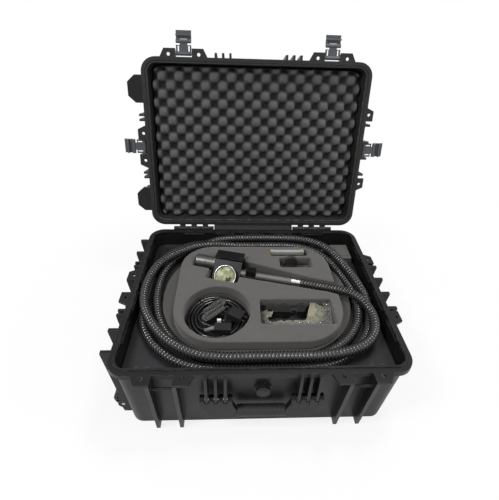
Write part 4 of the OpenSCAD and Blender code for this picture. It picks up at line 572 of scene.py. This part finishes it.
def make_cable():
    plug_dir, conn_dir = turned(PLUG_TURN), turned(CONN_TURN)
    plug_end = PLUG_AT + Vector((0, 0, CABLE_D / 2 + SEAT_GAP)) - PLUG_LEN / 2 * plug_dir
    conn_end = CONN_AT + Vector((0, 0, CONN_H / 2)) - CONN_LEN / 2 * conn_dir
    coil = [coil_point(ring) for ring in range(int(COIL_OUT + COIL_RISE + COIL_BACK) + 1)]
    points = [plug_end, plug_end - CABLE_D * plug_dir] + PLUG_WAY + coil + CONN_WAY
    points += [conn_end - CABLE_D * conn_dir, conn_end]
    line = list(reversed(smooth(in_metres(points), 4)))
    fine = resample(line, CABLE_SPACING)
    cable = tube("cable", fine, lambda s: CABLE_D / 2 * MM, 16, CABLE, "case")
    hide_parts("power_cable")
    cable_relief = make_relief("cable_relief", fine, CABLE_RELIEF, RELIEF)
    plug_relief = make_relief("plug_relief", list(reversed(fine)), PLUG_RELIEF, PLUG)
    resample(line, 0.006)


# Thin tie over the outer turns of the cable, as (distance from the pit's middle, height)
TIE_AT, TIE_R = 130, 1.0
TIE_WAY = [(74.3, 161.5), (74.3, 174), (72, 177.3), (64, 177.6), (51, 177.3), (47, 174), (46.6, 168)]


def make_tie():
    points = [PIT + r * turned(TIE_AT) + Vector((0, 0, z)) for r, z in TIE_WAY]
    tie = tube("cable_tie", smooth(in_metres(points), 5), lambda s: TIE_R * MM, 10, CABLE, "case")


# Sleeved lead: a closed double bundle with two short thin ends
LEAD_D, LEAD_LEN, LEAD_TURN, LEAD_LIFT, LEAD_GAP = 11, 44, 42, 11.1, 0.8
LEAD_AT = Vector((-107.7, -65, COIL_TOP + SEAT_GAP + LEAD_LIFT))
LEAD_SHARES = [(0.5, -1), (-0.5, -1), (-0.72, -0.9), (-0.78, -0.5), (-0.72, -0.1), (-0.5, 0), (0.5, 0),
               (0.72, 0.1), (0.78, 0.5), (0.72, 0.9), (0.5, 1), (-0.5, 1)]
WEAVE_DEPTH, WEAVE_PITCH = 0.5, 0.0026
THIN_R, THIN_SPACING = 2.0, 0.0015
TIP_WAY = [(-85.5, -60.9, 187.5), (-80.5, -56.4, 187.5), (-74.5, -55.5, 187.5), (-71.5, -61, 187),
           (-75, -69, 186.8), (-78.5, -77, 186.8), (-80, -86, 186.5), (-81, -93, 186), (-84.5, -97, 186),
           (-90, -97, 186)]
CONNECTOR_WAY = [(-129.9, -69.1, 187.5), (-134.5, -73.2, 187.5), (-139.5, -79, 187.5), (-142, -87, 187.5),
                 (-140, -96, 187), (-133, -103.5, 186.5), (-122, -108.5, 186), (-112, -111.56, 186),
                 (-103.6, -112, 186)]


def make_lead():
    c, s = math.cos(math.radians(LEAD_TURN)), math.sin(math.radians(LEAD_TURN))
    points = []
    for a, b in LEAD_SHARES:
        u, v = a * LEAD_LEN, b * (LEAD_D + LEAD_GAP)
        points.append(LEAD_AT + Vector((u * c - v * s, u * s + v * c, 0)))
    line = smooth(in_metres(points), 12)
    fine = resample(line, 0.0005)

    def radius(run):
        return (LEAD_D / 2 - WEAVE_DEPTH + WEAVE_DEPTH * math.cos(2 * math.pi * run / WEAVE_PITCH)) * MM

    sleeve = tube("lead_sleeve", fine, radius, 20, SLEEVE, "case")
    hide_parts("sleeved_lead")
    tip = resample(smooth(in_metres(TIP_WAY), 6), THIN_SPACING)
    con = list(reversed(resample(smooth(in_metres(CONNECTOR_WAY), 6), THIN_SPACING)))
    tip_lead = tube("tip_lead", tip, lambda run: THIN_R * MM, 12, CABLE, "case")
    con_lead = tube("connector_lead", con, lambda run: THIN_R * MM, 12, CABLE, "case")
    list(reversed(resample(line, 0.003)))


# Web of the lid between the two hinges, in the place it has with the lid closed
WEB_HALF, WEB_SPANS = 123.5, 12
WEB_PROFILE = [(247, 207.5), (252, 206), (259, 202.8), (264.5, 199), (266, 197.2), (264.6, 196.6),
               (262.5, 198.4), (257.5, 201.2), (251, 204.5), (247, 205.6)]


def make_web():
    verts = [opened((-WEB_HALF + 2 * WEB_HALF * k / WEB_SPANS, y, z)) * MM
             for k in range(WEB_SPANS + 1) for y, z in WEB_PROFILE]
    n = len(WEB_PROFILE)
    faces = [(k * n + i, (k + 1) * n + i, (k + 1) * n + (i + 1) % n, k * n + (i + 1) % n)
             for k in range(WEB_SPANS) for i in range(n)]
    faces += [tuple(range(n)), tuple(WEB_SPANS * n + i for i in range(n - 1, -1, -1))]
    mesh_object("lid_back_web", verts, faces, RIM_SKIN, "lid", smoothed=False)


# Bright rim in front of the lens, as (radius, height over the barrel's face)
RIM_SIDES, FACE_DEPTH = 72, 0.00005
RIM_PROFILE = [(26.2, -0.9), (26.6, 0.5), (27.6, 0.9), (29.2, 0.9), (30.0, 0.3), (30.2, -0.8), (29.0, -1.3),
               (27.2, -1.3)]


def make_lens_rim():
    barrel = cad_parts["lens_barrel"].data
    turn, tilt = math.radians(GUN_TURN), math.radians(HEAD_TILT)
    across = turned(GUN_TURN)
    axis = Vector((math.sin(turn) * math.sin(tilt), -math.cos(turn) * math.sin(tilt), math.cos(tilt)))
    up = axis.cross(across)
    front = max(v.co.dot(axis) for v in barrel.vertices)
    face = [v.co for v in barrel.vertices if v.co.dot(axis) > front - FACE_DEPTH]
    centre = sum(face, Vector()) / len(face)
    verts, faces = [], []
    for k in range(RIM_SIDES):
        a = 2 * math.pi * k / RIM_SIDES
        for r, h in RIM_PROFILE:
            verts.append(centre + (r * (math.cos(a) * across + math.sin(a) * up) + h * axis) * MM)
    n = len(RIM_PROFILE)
    for k in range(RIM_SIDES):
        for i in range(n):
            j, m = (i + 1) % n, (k + 1) % RIM_SIDES
            faces.append((k * n + i, k * n + j, m * n + j, m * n + i))
    mesh_object("lens_rim", verts, faces, LENS_RIM, "case")


# Foam with soft edges
FOAM_VOXEL, FOAM_WELD, WOBBLE_SCALE = 0.0024, 0.00002, 55


def soft_copy(name, node, paint, body, wobble):
    """A soft-edged copy of a foam solid, whose surface waves by up to wobble metres."""
    obj = add_object(name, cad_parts[node].data.copy())
    obj.data.materials.clear()
    obj.data.materials.append(paint)
    weld = obj.modifiers.new("weld", "WELD")
    weld.merge_threshold = FOAM_WELD
    remesh = obj.modifiers.new("remesh", "REMESH")
    remesh.mode, remesh.voxel_size, remesh.use_smooth_shade = "VOXEL", FOAM_VOXEL, True
    soften = obj.modifiers.new("soften", "SMOOTH")
    soften.factor, soften.iterations = 0.5, 3
    depsgraph = bpy.context.evaluated_depsgraph_get()
    mesh = bpy.data.meshes.new_from_object(obj.evaluated_get(depsgraph))
    obj.modifiers.clear()
    obj.data = mesh
    obj.data.name = name
    places = [v.co.copy() for v in mesh.vertices]
    normals = [v.normal.copy() for v in mesh.vertices]
    moved = [c + n * noise.noise(c * WOBBLE_SCALE) * wobble for c, n in zip(places, normals)]
    mesh.vertices.foreach_set("co", [x for c in moved for x in c])
    mesh.update()
    set_smooth(mesh)
    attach(obj, body)
    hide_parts(node)


# Egg-crate foam of the lid, in the place it has with the lid closed
HALF_W, HALF_D, CORNER_R = 289, 221.5, 25
CELLS_ACROSS, CELLS_DEEP, CELL_STEPS = 24, 18, 8
CELL_W, CELL_D = 2 * HALF_W / CELLS_ACROSS, 2 * HALF_D / CELLS_DEEP
CRATE_COLS, CRATE_ROWS = CELLS_ACROSS * CELL_STEPS, CELLS_DEEP * CELL_STEPS
CRATE_PEAK, CRATE_DEPTH, CRATE_BACK, CELL_BLUNT = 222.0, 20.0, 266.7, 1.7
UNEVEN_SCALE, UNEVEN_UP, CRATE_SINK = 0.045, 0.7, 0.5
SWAY_SCALE, SWAY_ACROSS, SWAY_SEED = 0.05, 0.6, 7
SIDE_SHADE = 0.2


def crate_place(i, j):
    return -HALF_W + 2 * HALF_W * i / CRATE_COLS, -HALF_D + 2 * HALF_D * j / CRATE_ROWS


def crate_rounded(x, y):
    """Pulls a place in to the foam's rounded corners."""
    over_x, over_y = abs(x) - (HALF_W - CORNER_R), abs(y) - (HALF_D - CORNER_R)
    reach = math.hypot(over_x, over_y)
    if over_x <= 0 or over_y <= 0 or reach <= CORNER_R:
        return x, y
    k = CORNER_R / reach
    return (math.copysign(HALF_W - CORNER_R + over_x * k, x),
            math.copysign(HALF_D - CORNER_R + over_y * k, y))


def crate_point(i, j):
    """A point of the face with the cells, and its height in its cell, -1 to 1."""
    x, y = crate_place(i, j)
    wave = math.cos(math.pi * (x + HALF_W) / CELL_W) * math.cos(math.pi * (y + HALF_D) / CELL_D)
    height = math.tanh(CELL_BLUNT * wave) / math.tanh(CELL_BLUNT)
    z = CRATE_PEAK + CRATE_DEPTH / 2 * (1 - height)
    z += UNEVEN_UP * noise.noise(Vector((x, y, 0)) * UNEVEN_SCALE) + CRATE_SINK
    pulled_x, pulled_y = crate_rounded(x, y)
    pulled_x += SWAY_ACROSS * noise.noise(Vector((x * SWAY_SCALE, y * SWAY_SCALE, SWAY_SEED)))
    return opened((pulled_x, pulled_y, z)) * MM, height


def make_lid_foam():
    # The run holds each point's height in its cell; the material paints the low points and the sides darker,
    # as a painted shade.
    verts, faces, depths = [], [], []
    for j in range(CRATE_ROWS + 1):
        for i in range(CRATE_COLS + 1):
            point, height = crate_point(i, j)
            verts.append(point)
            depths.append(((1 + height) / 2, 0))
    n = CRATE_COLS + 1
    for j in range(CRATE_ROWS):
        for i in range(CRATE_COLS):
            a = j * n + i
            faces.append((a, a + n, a + n + 1, a + 1))
    rim = grid_rim(CRATE_COLS, CRATE_ROWS)
    first = len(verts)
    for k in rim:
        j, i = divmod(k, n)
        verts.append(opened((*crate_rounded(*crate_place(i, j)), CRATE_BACK)) * MM)
        depths.append((SIDE_SHADE, 0))
    m = len(rim)
    for k in range(m):
        faces.append((rim[k], rim[(k + 1) % m], first + (k + 1) % m, first + k))
    faces.append(tuple(first + k for k in range(m)))
    foam = mesh_object("lid_crate_foam", verts, faces, FOAM_LID, "lid", uvs=depths)
    foam.data.polygons[-1].use_smooth = False
    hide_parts("lid_foam")


# Goggles' pouch: a creased cloth in a clear bag, as patches between four corners with (columns, rows)
POUCH_CORNERS, POUCH_CELLS = [(20, -112, 166), (150, -114, 166), (140, -90, 179), (34, -92, 173)], (70, 26)
FLAPS = [("pouch_flap", [(112, -96, 172), (170, -92, 174), (158, -62, 190), (128, -52, 196)], (36, 26)),
         ("pouch_tail", [(14, -84, 172), (30, -78, 174), (36, -68, 182), (18, -72, 180)], (14, 12))]
FILMS = [("bag_front", [(6, -118, 168), (174, -118, 168), (172, -100, 186), (8, -101, 182)], (110, 18)),
         ("bag_side", [(150, -116, 170), (177, -112, 172), (177, -56, 192), (160, -50, 192)], (30, 46)),
         ("bag_end", [(6, -116, 172), (24, -114, 172), (22, -66, 186), (6, -70, 184)], (22, 40))]
POUCH_THICK, FLAP_THICK, FILM_THICK = 1.0, 0.8, 0.15
FOLD_CREASES, FAN_CREASES, CELLS_PER_CREASE = (9, 5), (6, 2.5), 9
FOLD_SEED, FAN_SEED, CRUSH_SEED = 3, 8, 17


def sheet_mesh(name, corners, cells, lift, paint, thick):
    """A creased patch between four corner points in millimetres; lift(u, v) moves a point."""
    verts, faces = [], []
    a, b, c, d = [Vector(p) for p in corners]
    cols, rows = cells
    for side in (0, 1):
        for j in range(rows + 1):
            for i in range(cols + 1):
                u, v = i / cols, j / rows
                p = a.lerp(b, u).lerp(d.lerp(c, u), v) + lift(u, v)
                p.z -= thick * side
                verts.append(p * MM)
    n = cols + 1
    size = n * (rows + 1)
    for j in range(rows):
        for i in range(cols):
            k = j * n + i
            faces.append((k, k + 1, k + n + 1, k + n))
            faces.append((size + k, size + k + n, size + k + n + 1, size + k + 1))
    rim = grid_rim(cols, rows)
    for p, q in zip(rim, rim[1:] + rim[:1]):
        faces.append((q, p, size + p, size + q))
    return mesh_object(name, verts, faces, paint, "case")


def fold(u, v):
    """The folded cloth: full in its middle, with broad creases."""
    p = Vector((u * FOLD_CREASES[0], v * FOLD_CREASES[1], FOLD_SEED))
    full = 0
    if 0 < u < 1 and 0 < v < 1:
        full = 5 * math.sin(math.pi * u) ** 0.5 * math.sin(math.pi * v) ** 0.7
    crease = abs(noise.noise(p * 0.7)) * 9 + abs(noise.noise(p * 1.6)) * 4
    sway = noise.noise(p * 0.5 + Vector((9, 0, 0))) * 3
    return Vector((sway, noise.noise(p * 0.5) * 2, full + crease - 1))


def fan(u, v):
    """The loose ends of the cloth."""
    p = Vector((u * FAN_CREASES[0], v * FAN_CREASES[1], FAN_SEED))
    bow = noise.noise(p + Vector((3, 0, 0))) * 2 + 3 * math.sin(math.pi * u)
    return Vector((noise.noise(p) * 2, bow, abs(noise.noise(p * 1.3)) * 8))


def crush(cols, rows):
    """The crumples of a film, as close together on a long film as on a short one."""
    def lift(u, v):
        p = Vector((u * cols / CELLS_PER_CREASE, v * rows / CELLS_PER_CREASE, CRUSH_SEED))
        ridge = abs(noise.noise(p * 1.3)) + 0.5 * abs(noise.noise(p * 2.9))
        sway = noise.noise(p * 2 + Vector((5, 5, 5))) * 2
        return Vector((noise.noise(p * 2) * 2.5, sway, 9 * ridge + 1.2 * noise.cell(p * 1.7)))
    return lift


def make_pouch():
    cloth = sheet_mesh("pouch", POUCH_CORNERS, POUCH_CELLS, fold, CLOTH, POUCH_THICK)
    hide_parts("goggles_pouch")
    for name, corners, cells in FLAPS:
        flap = sheet_mesh(name, corners, cells, fan, CLOTH, FLAP_THICK)
    for name, corners, cells in FILMS:
        film = sheet_mesh(name, corners, cells, crush(*cells), FILM, FILM_THICK)
        set_smooth(film.data, False)


# Floor, backdrop and light
FLOOR_Z = -0.0005
FLOOR_CORNERS = [(-6, -6, FLOOR_Z), (6, -6, FLOOR_Z), (6, 8, FLOOR_Z), (-6, 8, FLOOR_Z)]
FLOOR_NEAR, FLOOR_FAR, FLOOR_SHARE = 0.4, 0.9, 0.84
GLOSSY_SHARE, WORLD_SHARE = 0.7, 0.3
LAMPS = [("key", (-1.3, -0.9, 2.2), 34), ("top", (0.5, 0.1, 2.4), 20), ("rim", (1.6, -0.6, 1.2), 8)]
LAMP_SIZE, LAMP_AIM = 0.5, Vector((0, 0, 0.2))


def seen_directly(tree):
    """1 for a ray from the camera or through a clear surface, GLOSSY_SHARE off a glossy one, or else 0."""
    path = add_node(tree, "ShaderNodeLightPath")
    glossy = calculate(tree, "MULTIPLY", path.outputs["Is Glossy Ray"], GLOSSY_SHARE)
    most = calculate(tree, "MAXIMUM", path.outputs["Is Camera Ray"], glossy)
    return calculate(tree, "MAXIMUM", most, path.outputs["Is Transmission Ray"])


def make_floor():
    """A white floor that glows for the camera, a little less near the case."""
    floor = bpy.data.meshes.new("floor")
    floor.from_pydata(FLOOR_CORNERS, [], [(0, 1, 2, 3)])
    obj = add_object("floor", floor)
    made, tree, bsdf = new_material("floor_white")
    bsdf.inputs["Base Color"].default_value = (*grey(0.9), 1)
    bsdf.inputs["Roughness"].default_value = 0.9
    glow = add_node(tree, "ShaderNodeEmission", Color=(*grey(1), 1), Strength=1.0)
    away = ramp(tree, measure(tree, "LENGTH", coords(tree)), FLOOR_NEAR, FLOOR_FAR, FLOOR_SHARE, 1.0)
    mix = add_node(tree, "ShaderNodeMixShader")
    tree.links.new(calculate(tree, "MULTIPLY", seen_directly(tree), away), mix.inputs[0])
    tree.links.new(bsdf.outputs[0], mix.inputs[1])
    tree.links.new(glow.outputs[0], mix.inputs[2])
    tree.links.new(mix.outputs[0], tree.nodes["Material Output"].inputs["Surface"])
    floor.materials.append(made)


def make_light():
    world = bpy.data.worlds.new("studio")
    scene.world = world
    world.use_nodes = True
    tree = world.node_tree
    back = tree.nodes["Background"]
    back.inputs["Color"].default_value = (*grey(1), 1)
    tree.links.new(ramp(tree, seen_directly(tree), 0, 1, WORLD_SHARE, 1.0), back.inputs["Strength"])
    for name, place, power in LAMPS:
        light = bpy.data.lights.new(name, "AREA")
        light.size, light.energy = LAMP_SIZE, power
        lamp = add_object(name, light)
        lamp.location = place
        lamp.rotation_euler = (LAMP_AIM - Vector(place)).to_track_quat("-Z", "Y").to_euler()


scene.view_settings.view_transform = "Standard"
make_camera()
make_hose()
make_cable()
make_lead()
make_lens_rim()
make_tie()
make_web()
dress_nodes()
soft_copy("island", "island_foam", FOAM, "case", 0.0003)
soft_copy("lower_tier", "lower_foam", FOAM_LOW, "case", 0.0004)
make_lid_foam()
make_pouch()
make_floor()
make_light()
